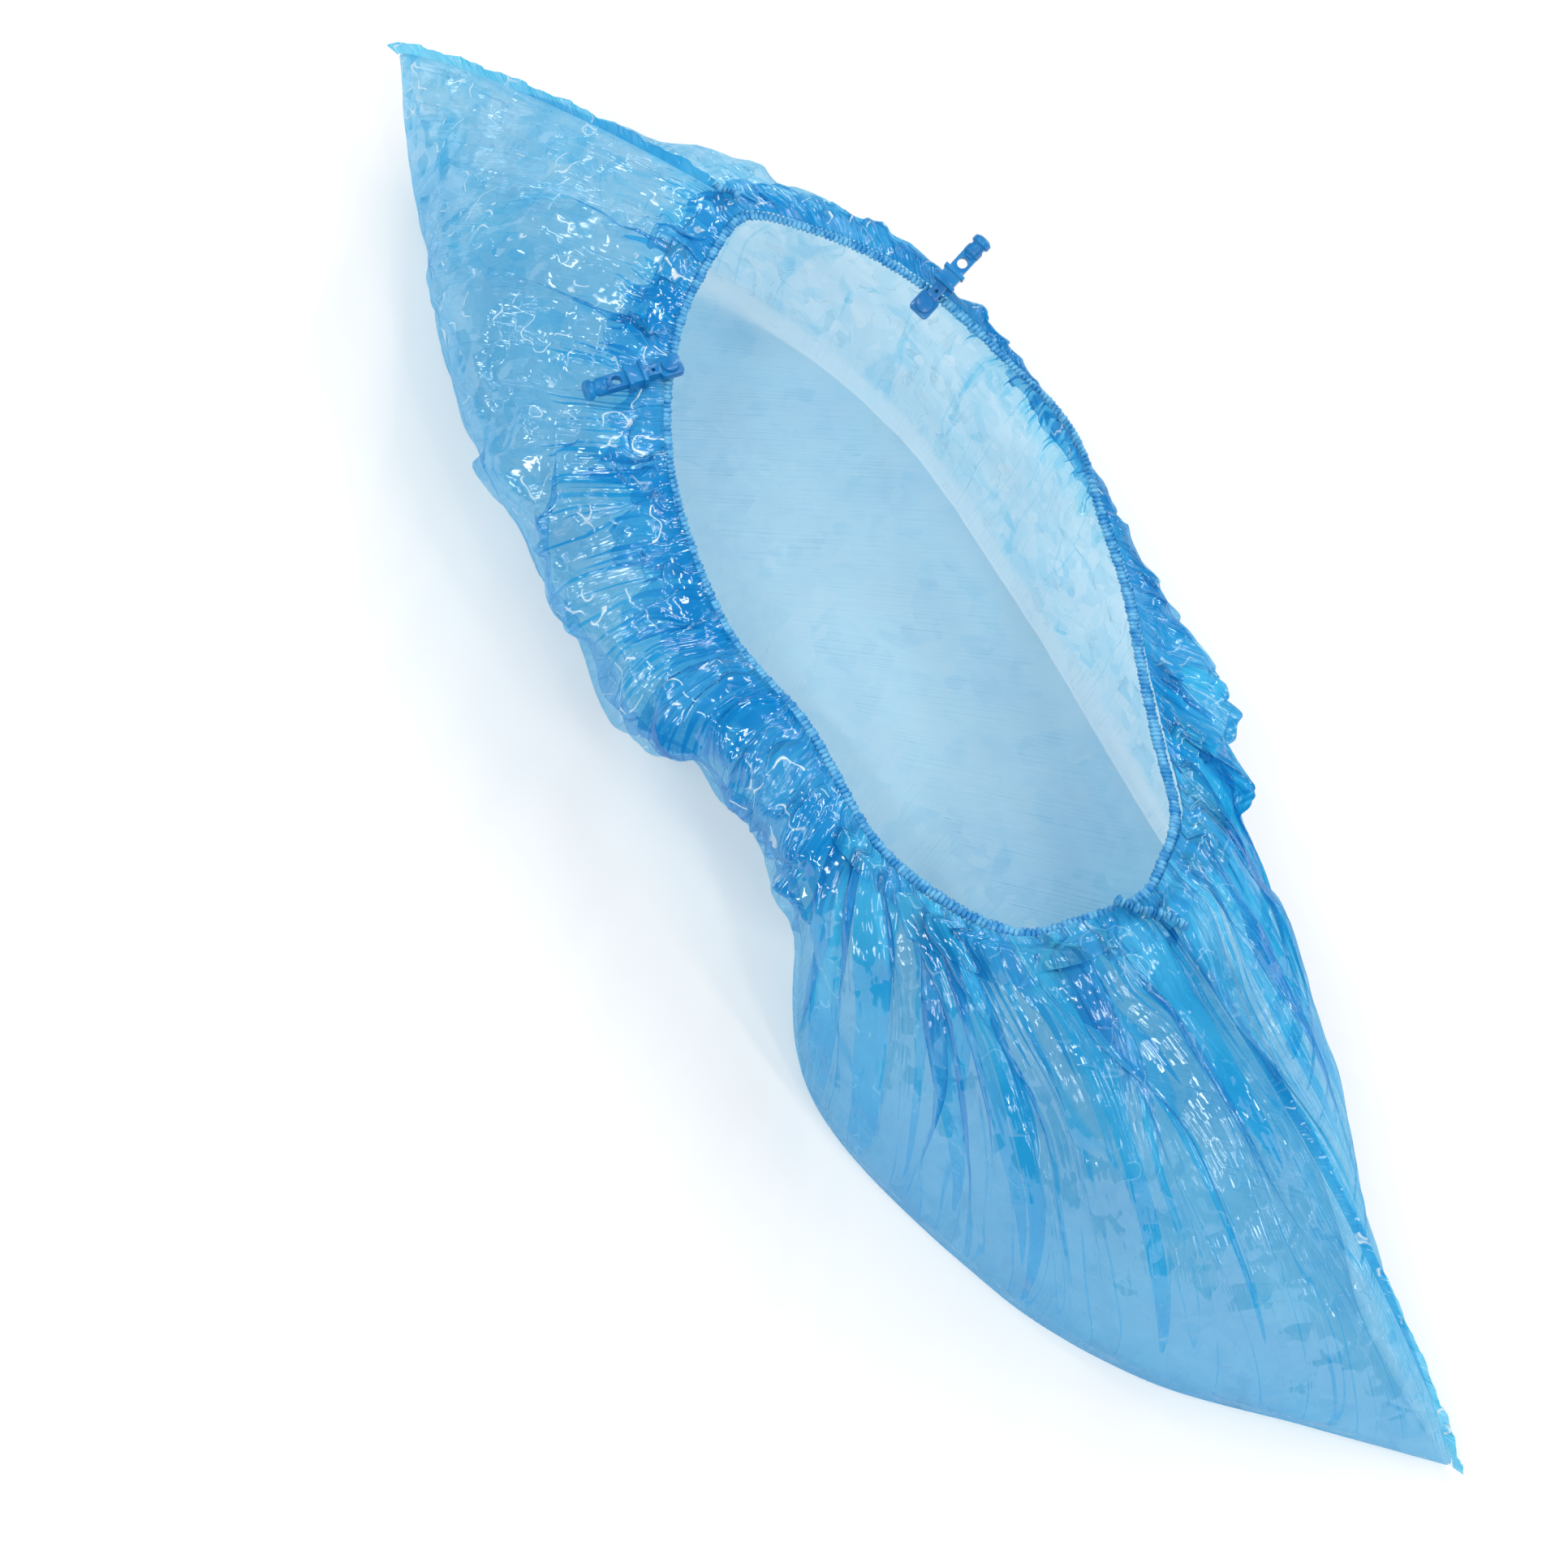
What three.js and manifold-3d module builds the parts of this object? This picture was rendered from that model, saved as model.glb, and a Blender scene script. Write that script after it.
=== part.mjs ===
// A disposable overshoe: a folded film bag with an elastic hem, welded ends and two dispenser clips.
//
// Frame: millimetres, +X to the toe, +Y to the wearer's left, +Z up. The origin is the seat on the
// bag's flat floor where the middle of the shoe's sole presses.
//
// The bag is two side panels that share the fold under the sole and are welded together at the toe and
// at the heel. "along" runs from the toe weld (0) to the heel weld (1), and "down" from the hem (0) to
// the line where the wall meets the floor (1). The floor runs on from there in to the fold.

import * as THREE from 'three';
import { mergeVertices } from 'three/addons/utils/BufferGeometryUtils.js';
import Module from 'manifold-3d';

const wasm = await Module();
wasm.setup();

// ---------------------------------------------------------------- driving dimensions

const WALL = 1.2;                 // modelled wall of the film
const WELD_FIN = 2.6;             // how far the welded edge stands out past the seam
const FOLD_OVERLAP = 0.8;         // the two panels lap by this much at the fold under the sole
const TAB_GAP = 0.5;              // from the film up to a tab
const SEAM_MARGIN = 0.002;        // the panels stop this share short of a weld, which the weld bridges

const PANEL_STEPS = 62;           // columns of each panel, toe weld to heel weld
const WALL_ROWS = [0, 0.05, 0.12, 0.21, 0.32, 0.44, 0.57, 0.7, 0.82, 0.92, 1];
const FLOOR_ROWS = [0.12, 0.6];   // shares of the way from the wall's foot to the fold

// Rolled rim round the elastic.
const RIM = { clear: 0.95, width: 2.2, height: 3.0, sides: 6, ribs: 52, ribDepth: 0.12 };

// Standing ends of the rim where the two halves of the hem are welded together. end: 0 at the toe weld,
// 1 at the heel weld. clear: from the mouth's edge to the near end. taper: the share of its height that
// the tab loses by its far end. lean: how far the tab turns off the seam, degrees.
const TABS = [
  {
    name: 'front_tab', end: 0, side: 'left', length: 14, height: 5.5,
    thick: 1.8, clear: 2.0, taper: 0.45, lean: 10,
  },
  {
    name: 'rear_tab', end: 1, side: 'right', length: 5.5, height: 4,
    thick: 1.8, clear: 2.0, taper: 0.45, lean: 8,
  },
];
const TAB_STEPS = 6;
const TAB_AIM = 0.16;             // share down the weld that a tab points at

// The welded edge. from, full: shares down between which its fin rises to full height. rootDepth: how far
// the strip reaches into the bag, and flatDepth how much more where the two panels meet nearly flat.
// cornerFill: more again at the bottom corner. pastCorner: how far the strip runs on past it.
const WELD = {
  from: 0.1, full: 0.17, halfWidth: 1.2, rootDepth: 0.3, flatDepth: 1.8, pastCorner: 2, cornerFill: 3.5,
};

// Dispenser clip, lying along its own X from the boss at the hem out to the knob.
const BOSS = { length: 5.4, width: 5.2, thick: 1.6, corner: 1.0, discRadius: 2.0, discHeight: 0.7 };
const SHANK = { length: 3.6, width: 2.8, thick: 1.8, holeRadius: 0.45, holeBack: 0.4 };
const BOX = { length: 4.3, width: 4.6, height: 3.2, ribThick: 0.8, ribHeight: 0.5 };
const NECK = { length: 4.6, width: 3.9, thick: 1.8, holeRadius: 1.25 };
const KNOB = { length: 5.4, rootRadius: 1.5, collarRadius: 2.15, grooveRadius: 1.75, flangeRadius: 2.35 };
const ROUND_SIDES = 14;
const CLIP_LAP = 0.5;             // how far its blocks run into one another

// Where each clip crosses the rim. along: on its panel's hem. crossing: the clip's own X over the rim.
// lift: its axis above the middle of the rim. heading, slope and roll in degrees.
const CLIPS = [
  {
    name: 'hook_clip_right', side: 'right', along: 0.825, crossing: 0,
    lift: 2.6, heading: -93, slope: -1, roll: 0,
  },
  {
    name: 'hook_clip_left', side: 'left', along: 0.81, crossing: 5.2,
    lift: 3, heading: 110, slope: 24, roll: 13,
  },
];

// Finishes: colour, roughness, metalness.
const FILM_BLUE = { color: 0x6fb4e8, roughness: 0.25, metalness: 0 };
const RIM_BLUE = { color: 0x4aa6e0, roughness: 0.5, metalness: 0 };
const CLIP_BLUE = { color: 0x1f6fc4, roughness: 0.35, metalness: 0 };

// The two ends of the fold under the sole, where the flattened corners of the bag point.
const TOE_CORNER = { x: 184, y: 29, z: 0 };
const HEEL_CORNER = { x: -227, y: -40, z: 24 };
const KEEL_RISE_FROM = 0.8;       // share along from which the fold leaves the floor at the heel
const FOOT_FROM = 0.8;            // share down from which the wall turns smooth and flat for the floor
const SWELL_POWER = 0.8;          // under 1 spreads the swell over more of the wall's height

// Stations of the two panels. hem: a point of the mouth's edge. foot: where the wall comes down.
// round: 1 is a straight tent wall, 2 a quarter ellipse, more is a fuller shoulder. swell: how far the
// slack wall stands out halfway down.
const TOE_WELD = {
  along: 0, hemX: 65, hemY: 2, hemZ: 70, footX: 184, footY: 29, footZ: 0, round: 1.26, swell: 0,
};
const HEEL_WELD = {
  along: 1, hemX: -132, hemY: 5, hemZ: 58, footX: -227, footY: -40, footZ: 24, round: 1.3, swell: 0,
};
const RIGHT = [
  TOE_WELD,
  { along: 0.08, hemX: 65, hemY: -13, hemZ: 70, footX: 164, footY: 5, footZ: 0, round: 1.8, swell: 0 },
  { along: 0.17, hemX: 62, hemY: -27, hemZ: 69, footX: 140, footY: -23, footZ: 0, round: 2.1, swell: 0 },
  { along: 0.27, hemX: 48, hemY: -37, hemZ: 65, footX: 107, footY: -44.5, footZ: 0, round: 2.2, swell: 0 },
  { along: 0.38, hemX: 26, hemY: -43, hemZ: 59, footX: 54, footY: -60, footZ: 0, round: 2.2, swell: 4 },
  { along: 0.5, hemX: -4, hemY: -43, hemZ: 56, footX: 8, footY: -42, footZ: 0, round: 2, swell: 4 },
  { along: 0.62, hemX: -38, hemY: -46, hemZ: 48, footX: -40, footY: -46, footZ: 0, round: 2, swell: 15 },
  { along: 0.74, hemX: -76, hemY: -42, hemZ: 54, footX: -92, footY: -49, footZ: 0, round: 2, swell: 22 },
  { along: 0.86, hemX: -106, hemY: -27, hemZ: 58, footX: -146, footY: -52, footZ: 1.5, round: 2, swell: 22 },
  { along: 0.94, hemX: -124, hemY: -9, hemZ: 59, footX: -191, footY: -49, footZ: 11, round: 1.5, swell: 5 },
  HEEL_WELD,
];
const LEFT = [
  TOE_WELD,
  { along: 0.08, hemX: 59, hemY: 11, hemZ: 69, footX: 150, footY: 29, footZ: 0, round: 1.6, swell: 0 },
  { along: 0.17, hemX: 50, hemY: 20, hemZ: 65, footX: 128, footY: 35, footZ: 0, round: 1.8, swell: 0 },
  { along: 0.27, hemX: 35, hemY: 27, hemZ: 60, footX: 98, footY: 41, footZ: 0, round: 1.9, swell: 0 },
  { along: 0.38, hemX: 14, hemY: 35, hemZ: 57, footX: 60, footY: 44.5, footZ: 0, round: 2, swell: 1 },
  { along: 0.5, hemX: -12, hemY: 45, hemZ: 54, footX: 12, footY: 44, footZ: 0, round: 2, swell: 4 },
  { along: 0.62, hemX: -44, hemY: 50, hemZ: 53, footX: -42, footY: 43, footZ: 0, round: 2, swell: 2 },
  { along: 0.74, hemX: -80, hemY: 46, hemZ: 54, footX: -94, footY: 38, footZ: 0, round: 2, swell: 3 },
  { along: 0.86, hemX: -107, hemY: 34, hemZ: 56, footX: -138, footY: 20, footZ: 1.5, round: 1.8, swell: 5 },
  { along: 0.94, hemX: -123, hemY: 20, hemZ: 57, footX: -178, footY: -6, footZ: 11, round: 1.5, swell: 9 },
  HEEL_WELD,
];
const PANELS = { right: RIGHT, left: LEFT };

// Gathers of the film under the hem, as families of folds. folds: how many on one panel. depth: their
// height at the hem. reach: the share of the way down at which they have died away. slip: phase.
const GATHERS = [
  { folds: 20, depth: 1.3, reach: 0.34, slip: 0.4 },
  { folds: 11.5, depth: 2.0, reach: 0.75, slip: 1.9 },
  { folds: 6.3, depth: 1.6, reach: 1.0, slip: 0.9 },
];

// How the relief starts: shares along by which it is full past each weld, and shares down past the hem.
const RELIEF_FULL = { toeWeld: 0.05, heelWeld: 0.08, gather: 0.09, pouch: 0.2 };
const PANEL_SLIP = { right: 0, left: 2.4 };

// Loose pouches of the slack film: a swelling with its middle at along and down.
const POUCHES = [
  { side: 'right', along: 0.5, down: 0.2, wide: 0.045, tall: 0.2, out: 6 },
  { side: 'right', along: 0.57, down: 0.3, wide: 0.04, tall: 0.24, out: 7 },
  { side: 'right', along: 0.65, down: 0.22, wide: 0.05, tall: 0.22, out: 5 },
  { side: 'left', along: 0.4, down: 0.2, wide: 0.035, tall: 0.16, out: 4 },
  { side: 'left', along: 0.47, down: 0.18, wide: 0.03, tall: 0.14, out: 5 },
];

// ---------------------------------------------------------------- the film's surface

const lerp = (a, b, t) => a + (b - a) * t;
const clamp01 = (t) => Math.min(1, Math.max(0, t));
const smooth = (t) => clamp01(t) ** 2 * (3 - 2 * clamp01(t));

// Cubic interpolation of one column of a panel's stations. Past a weld the mouth's edge runs on round
// the other panel, while the walls meet there in a corner.
function column(side, name, along) {
  const rows = PANELS[side].map((row) => [row.along, row[name]]);
  if (name.startsWith('hem')) {
    const other = PANELS[side === 'right' ? 'left' : 'right'];
    const before = other[1];
    const after = other[other.length - 2];
    rows.unshift([-before.along, before[name]]);
    rows.push([2 - after.along, after[name]]);
  }
  let i = rows.findIndex((row, k) => k > 0 && along <= row[0]);
  if (i < 0) i = rows.length - 1;
  const [p, q] = [rows[i - 1], rows[i]];
  const slope = (k) => {
    const a = rows[Math.max(0, k - 1)];
    const b = rows[Math.min(rows.length - 1, k + 1)];
    return (b[1] - a[1]) / (b[0] - a[0]);
  };
  const span = q[0] - p[0];
  const t = (along - p[0]) / span;
  const [m0, m1] = [slope(i - 1) * span, slope(i) * span];
  return (2 * t ** 3 - 3 * t ** 2 + 1) * p[1] + (t ** 3 - 2 * t ** 2 + t) * m0
    + (3 * t ** 2 - 2 * t ** 3) * q[1] + (t ** 3 - t ** 2) * m1;
}

function hemPoint(side, along) {
  return new THREE.Vector3(...['hemX', 'hemY', 'hemZ'].map((name) => column(side, name, along)));
}

function footPoint(side, along) {
  const foot = new THREE.Vector3(...['footX', 'footY', 'footZ'].map((name) => column(side, name, along)));
  foot.z = Math.max(0, foot.z);
  return foot;
}

function foldPoint(along) {
  const rise = Math.max(0, (along - KEEL_RISE_FROM) / (1 - KEEL_RISE_FROM)) ** 3;
  return new THREE.Vector3(
    lerp(TOE_CORNER.x, HEEL_CORNER.x, along),
    lerp(TOE_CORNER.y, HEEL_CORNER.y, along),
    lerp(TOE_CORNER.z, HEEL_CORNER.z, rise),
  );
}

// Plan direction away from the line down the middle of the mouth.
const SPINE = { fromX: -85, toX: 25, y: 0 };
function outward(point) {
  const near = THREE.MathUtils.clamp(point.x, SPINE.fromX, SPINE.toX);
  return new THREE.Vector3(point.x - near, point.y - SPINE.y, 0).normalize();
}

// Height of the gathers and pouches over the plain wall.
function relief(side, along, down) {
  const atWelds = smooth(along / RELIEF_FULL.toeWeld) * smooth((1 - along) / RELIEF_FULL.heelWeld);
  const turn = PANEL_SLIP[side];
  let height = 0;
  for (const gather of GATHERS) {
    const fade = (1 - smooth(down / gather.reach)) * smooth(down / RELIEF_FULL.gather);
    const sway = 0.35 * Math.sin(5.2 * along + gather.slip) + 0.05 * Math.sin(31 * along + turn);
    const phase = 2 * Math.PI * (gather.folds * along + sway) + gather.slip + turn;
    height += gather.depth * fade * Math.sin(phase);
  }
  for (const pouch of POUCHES.filter((p) => p.side === side)) {
    const far = ((along - pouch.along) / pouch.wide) ** 2 + ((down - pouch.down) / pouch.tall) ** 2;
    height += pouch.out * Math.exp(-far) * smooth(down / RELIEF_FULL.pouch);
  }
  return height * atWelds;
}

// A point of the film's inner face on the wall.
function wallPoint(side, along, down) {
  const hem = hemPoint(side, along);
  const foot = footPoint(side, along);
  const power = 2 / column(side, 'round', along);
  const out = Math.sin(down * Math.PI / 2) ** power;
  const fall = down >= 1 ? 0 : Math.cos(down * Math.PI / 2) ** power;
  const point = new THREE.Vector3(
    lerp(hem.x, foot.x, out),
    lerp(hem.y, foot.y, out),
    lerp(foot.z, hem.z, fall),
  );
  const swell = Math.max(0, column(side, 'swell', along)) * Math.sin(Math.PI * down) ** SWELL_POWER;
  return point.addScaledVector(outward(point), swell);
}

// The same point with the gathers and pouches, which never sink below the floor.
function foldedWallPoint(side, along, down) {
  const at = wallPoint(side, along, down);
  const onFoot = 1 - smooth((down - FOOT_FROM) / (1 - FOOT_FROM));
  at.addScaledVector(outwardNormal(side, along, down), relief(side, along, down) * onFoot);
  at.z = Math.max(at.z, footPoint(side, along).z * smooth(down));
  return at;
}

function outwardNormal(side, along, down) {
  const STEP = 0.01;
  const [a0, a1] = [Math.max(0, along - STEP), Math.min(1, along + STEP)];
  const [d0, d1] = [Math.max(0, down - STEP), Math.min(1, down + STEP)];
  const alongWay = wallPoint(side, a1, down).sub(wallPoint(side, a0, down));
  const downWay = wallPoint(side, along, d1).sub(wallPoint(side, along, d0));
  const normal = alongWay.cross(downWay).normalize();
  return side === 'right' ? normal : normal.negate();
}

// ---------------------------------------------------------------- closed sheets and tubes

// A grid of points and the way out of each, made a closed wall of the given thickness.
function thickSheet(points, normals, wall) {
  const [columns, rows] = [points.length, points[0].length];
  const positions = [];
  for (const depth of [0, wall]) {
    points.forEach((line, i) => line.forEach((point, j) => {
      positions.push(...point.clone().addScaledVector(normals[i][j], depth).toArray());
    }));
  }
  const inner = (i, j) => i * rows + j;
  const outer = (i, j) => columns * rows + i * rows + j;
  const index = [];
  const quad = (a, b, c, d) => index.push(a, b, c, a, c, d);
  for (let i = 0; i + 1 < columns; i++) {
    for (let j = 0; j + 1 < rows; j++) {
      quad(inner(i, j), inner(i, j + 1), inner(i + 1, j + 1), inner(i + 1, j));
      quad(outer(i, j), outer(i + 1, j), outer(i + 1, j + 1), outer(i, j + 1));
    }
  }
  for (let i = 0; i + 1 < columns; i++) {
    quad(inner(i, 0), inner(i + 1, 0), outer(i + 1, 0), outer(i, 0));
    quad(inner(i + 1, rows - 1), inner(i, rows - 1), outer(i, rows - 1), outer(i + 1, rows - 1));
  }
  for (let j = 0; j + 1 < rows; j++) {
    quad(inner(0, j + 1), inner(0, j), outer(0, j), outer(0, j + 1));
    const last = columns - 1;
    quad(inner(last, j), inner(last, j + 1), outer(last, j + 1), outer(last, j));
  }
  return facesOut(geometryOf(positions, index));
}

function geometryOf(positions, index) {
  const geometry = new THREE.BufferGeometry();
  geometry.setAttribute('position', new THREE.Float32BufferAttribute(positions, 3));
  geometry.setIndex(index);
  return geometry;
}

// Turns a closed mesh the right way out: its signed volume is positive.
function facesOut(geometry) {
  const at = (k) => new THREE.Vector3().fromBufferAttribute(geometry.attributes.position, k);
  const index = Array.from(geometry.index.array);
  let volume = 0;
  for (let k = 0; k < index.length; k += 3) {
    volume += at(index[k]).dot(at(index[k + 1]).cross(at(index[k + 2])));
  }
  if (volume < 0) index.reverse();
  geometry.setIndex(index);
  return geometry;
}

// A closed loop of equal sections joined into a ring.
function ringOfSections(sections) {
  const sides = sections[0].length;
  const index = [];
  sections.forEach((_, i) => {
    const next = (i + 1) % sections.length;
    for (let k = 0; k < sides; k++) {
      const turn = (k + 1) % sides;
      const [a, b, c, d] = [i * sides + k, next * sides + k, next * sides + turn, i * sides + turn];
      index.push(a, b, c, a, c, d);
    }
  });
  return facesOut(geometryOf(sections.flat().flatMap((point) => point.toArray()), index));
}

function solidOf(geometry) {
  const bare = geometry.clone();
  bare.deleteAttribute('normal');
  bare.deleteAttribute('uv');
  const merged = mergeVertices(bare, 1e-4);
  return new wasm.Manifold(new wasm.Mesh({
    numProp: 3,
    vertProperties: new Float32Array(merged.attributes.position.array),
    triVerts: new Uint32Array(merged.index.array),
  }));
}

function geometryFrom(solid) {
  const mesh = solid.getMesh();
  const positions = [];
  for (let k = 0; k < mesh.vertProperties.length; k += mesh.numProp) {
    positions.push(...mesh.vertProperties.slice(k, k + 3));
  }
  return geometryOf(positions, Array.from(mesh.triVerts));
}

const joined = (...solids) => solids.reduce((sum, solid) => sum.add(solid));

// ---------------------------------------------------------------- the pieces

// Outward normals of a grid of inner points, seen so that the floor looks down.
function gridNormals(points, flip) {
  return points.map((line, i) => line.map((_, j) => {
    const before = points[Math.max(0, i - 1)][j];
    const after = points[Math.min(points.length - 1, i + 1)][j];
    const above = line[Math.max(0, j - 1)];
    const below = line[Math.min(line.length - 1, j + 1)];
    const across = after.clone().sub(before);
    const normal = across.cross(below.clone().sub(above)).normalize();
    return flip ? normal.negate() : normal;
  }));
}

function panelGrid(side) {
  return Array.from({ length: PANEL_STEPS + 1 }, (_, i) => {
    const along = lerp(SEAM_MARGIN, 1 - SEAM_MARGIN, i / PANEL_STEPS);
    const fold = foldPoint(along);
    const foot = footPoint(side, along);
    const lap = fold.clone().sub(foot).setLength(FOLD_OVERLAP);
    return [
      ...WALL_ROWS.map((down) => foldedWallPoint(side, along, down)),
      ...FLOOR_ROWS.map((inward) => foot.clone().lerp(fold, inward)),
      fold.clone().add(lap),
    ];
  });
}

// The welded edge at one end: its seam points, the way out of the bag at each, and how flat the two
// panels meet there (0 in a sharp edge, 1 where they run on straight).
function seam(end) {
  const INSIDE = 0.02;
  const LAST_DOWN = 0.98;
  const LEAST_APART = 0.5;
  const inside = Math.abs(end - INSIDE);
  return WALL_ROWS.map((down) => {
    const at = foldedWallPoint('right', end, down);
    const right = foldedWallPoint('right', inside, down);
    const left = foldedWallPoint('left', inside, down);
    const apart = right.distanceTo(left);
    const reach = at.clone().multiplyScalar(2).sub(right).sub(left);
    const flatness = reach.length() / (reach.length() + apart);
    const [first, second] = ['right', 'left'].map(
      (side) => outwardNormal(side, inside, Math.min(down, LAST_DOWN)),
    );
    const out = first.add(second).addScaledVector(reach, 2 / Math.max(apart, LEAST_APART)).normalize();
    return { down, at, out, flatness };
  });
}

// A strip standing on edge along a path: stations give a point, the way up, and how far the strip
// reaches below and above the point.
function standingStrip(stations, halfWidth) {
  const sections = stations.map(({ at, up, below, above }, i) => {
    const next = stations[Math.min(stations.length - 1, i + 1)].at;
    const last = stations[Math.max(0, i - 1)].at;
    const side = next.clone().sub(last).cross(up).normalize().multiplyScalar(halfWidth);
    const low = at.clone().addScaledVector(up, -below);
    const high = at.clone().addScaledVector(up, above);
    const corners = [
      low.clone().sub(side),
      low.clone().add(side),
      high.clone().add(side),
      high.clone().sub(side),
    ];
    corners.forEach((corner) => {
      corner.z = Math.max(corner.z, -WALL);
    });
    return corners;
  });
  const index = [0, 2, 1, 0, 3, 2];
  const last = 4 * (sections.length - 1);
  index.push(last, last + 1, last + 2, last, last + 2, last + 3);
  for (let i = 0; i + 1 < sections.length; i++) {
    for (let k = 0; k < 4; k++) {
      const [a, b] = [4 * i + k, 4 * i + (k + 1) % 4];
      index.push(a, b, b + 4, a, b + 4, a + 4);
    }
  }
  return facesOut(geometryOf(sections.flat().flatMap((point) => point.toArray()), index));
}

function weldStrip(end) {
  const stations = seam(end).map(({ down, at, out, flatness }) => ({
    at,
    up: out,
    below: WELD.rootDepth + WELD.flatDepth * flatness
      + WELD.cornerFill * smooth((down - FOOT_FROM) / (1 - FOOT_FROM)),
    above: WALL + WELD_FIN * smooth((down - WELD.from) / (WELD.full - WELD.from)),
  }));
  const tip = stations[stations.length - 1];
  const onward = tip.at.clone().sub(stations[stations.length - 2].at).setLength(WELD.pastCorner);
  stations.push({ ...tip, at: tip.at.clone().add(onward) });
  return standingStrip(stations, WELD.halfWidth);
}

function panel(side) {
  const points = panelGrid(side);
  return thickSheet(points, gridNormals(points, side === 'left'), WALL);
}

function filmBag() {
  const parts = [panel('right'), panel('left'), weldStrip(0), weldStrip(1)];
  return geometryFrom(joined(...parts.map(solidOf)));
}

// The middle line of the rim and its frame, walked right side forward and left side back.
function rimStations() {
  const count = RIM.ribs;
  const walk = [];
  for (let i = 0; i < count; i++) {
    walk.push(['right', i / count]);
  }
  for (let i = count; i > 0; i--) {
    walk.push(['left', i / count]);
  }
  const raw = walk.map(([side, along]) => {
    const edge = foldedWallPoint(side, along, 0);
    return {
      edge,
      up: edge.clone().sub(foldedWallPoint(side, along, 0.03)).normalize(),
      out: outwardNormal(side, along, 0.01),
    };
  });
  const SPREAD = 2;
  return raw.map((station, i) => {
    const mean = (key) => {
      const sum = new THREE.Vector3();
      for (let k = -SPREAD; k <= SPREAD; k++) {
        sum.add(raw[(i + k + raw.length) % raw.length][key]);
      }
      return sum.normalize();
    };
    const [next, last] = [raw[(i + 1) % raw.length], raw[(i + raw.length - 1) % raw.length]];
    const ahead = next.edge.clone().sub(last.edge);
    const out = mean('out').projectOnPlane(ahead.normalize()).normalize();
    const up = mean('up').projectOnPlane(ahead).projectOnPlane(out).normalize();
    const middle = station.edge.clone()
      .addScaledVector(out, WALL / 2)
      .addScaledVector(up, RIM.clear + RIM.height / 2);
    return { middle, out, up };
  });
}

function elasticHem(stations) {
  return ringOfSections(stations.map(({ middle, out, up }, i) => {
    const size = i % 2 ? 1 - RIM.ribDepth : 1;
    return Array.from({ length: RIM.sides }, (_, k) => {
      const turn = ((k + 0.5) / RIM.sides) * 2 * Math.PI;
      return middle.clone()
        .addScaledVector(out, Math.cos(turn) * size * RIM.width / 2)
        .addScaledVector(up, Math.sin(turn) * size * RIM.height / 2);
    });
  }));
}

function weldTab({ end, side, length, height, thick, clear, taper, lean }) {
  const start = foldedWallPoint(side, end, 0);
  const away = foldedWallPoint(side, end, TAB_AIM).sub(start).setZ(0).normalize();
  const axis = new THREE.Vector3(0, 0, 1);
  away.applyAxisAngle(axis, THREE.MathUtils.degToRad(lean));
  const stations = Array.from({ length: TAB_STEPS + 1 }, (_, i) => {
    const far = clear + (length * i) / TAB_STEPS;
    const at = start.clone().addScaledVector(away, far);
    at.z = surfaceHeight(at) + WALL + TAB_GAP;
    return { at, up: axis, below: 0, above: height * (1 - taper * (i / TAB_STEPS) ** 2) };
  });
  return standingStrip(stations, thick / 2);
}

// Highest inner face of the film near a plan point, from a fine walk over both panels.
const WALK = 240;
const surfacePoints = Object.keys(PANELS).flatMap((side) => {
  const points = [];
  for (let i = 0; i <= WALK; i++) {
    for (let j = 0; j <= WALK / 4; j++) {
      points.push(foldedWallPoint(side, i / WALK, (2 * j) / WALK));
    }
  }
  return points;
});
function surfaceHeight(at, within = 2) {
  const near = surfacePoints.filter((point) => Math.hypot(point.x - at.x, point.y - at.y) < within);
  return Math.max(...near.map((point) => point.z));
}

// ---- dispenser clip, along its own +X from the boss to the knob, wide in Y, thick in Z

function plate(length, width, thick, corner = 0) {
  const [x, y] = [length / 2, width / 2];
  const outline = new THREE.Shape();
  outline.moveTo(-x + corner, -y);
  outline.lineTo(x - corner, -y);
  if (corner) outline.absarc(x - corner, -y + corner, corner, -Math.PI / 2, 0);
  outline.lineTo(x, y - corner);
  if (corner) outline.absarc(x - corner, y - corner, corner, 0, Math.PI / 2);
  outline.lineTo(-x + corner, y);
  if (corner) outline.absarc(-x + corner, y - corner, corner, Math.PI / 2, Math.PI);
  outline.lineTo(-x, -y + corner);
  if (corner) outline.absarc(-x + corner, -y + corner, corner, Math.PI, 1.5 * Math.PI);
  return new THREE.ExtrudeGeometry(outline, { depth: thick, bevelEnabled: false, curveSegments: 4 })
    .translate(0, 0, -thick / 2);
}

function upright(radius, height) {
  return new THREE.CylinderGeometry(radius, radius, height, ROUND_SIDES).rotateX(Math.PI / 2);
}

function knob() {
  const { length, rootRadius, collarRadius, grooveRadius, flangeRadius } = KNOB;
  const profile = [
    [0, -CLIP_LAP],
    [rootRadius, -CLIP_LAP],
    [rootRadius, 0],
    [collarRadius, 0.1 * length],
    [collarRadius, 0.4 * length],
    [grooveRadius, 0.5 * length],
    [grooveRadius, 0.6 * length],
    [flangeRadius, 0.68 * length],
    [flangeRadius, 0.9 * length],
    [0.7 * flangeRadius, length],
    [0, length],
  ].map(([radius, far]) => new THREE.Vector2(radius, far));
  return new THREE.LatheGeometry(profile, ROUND_SIDES).rotateZ(-Math.PI / 2);
}

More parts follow.
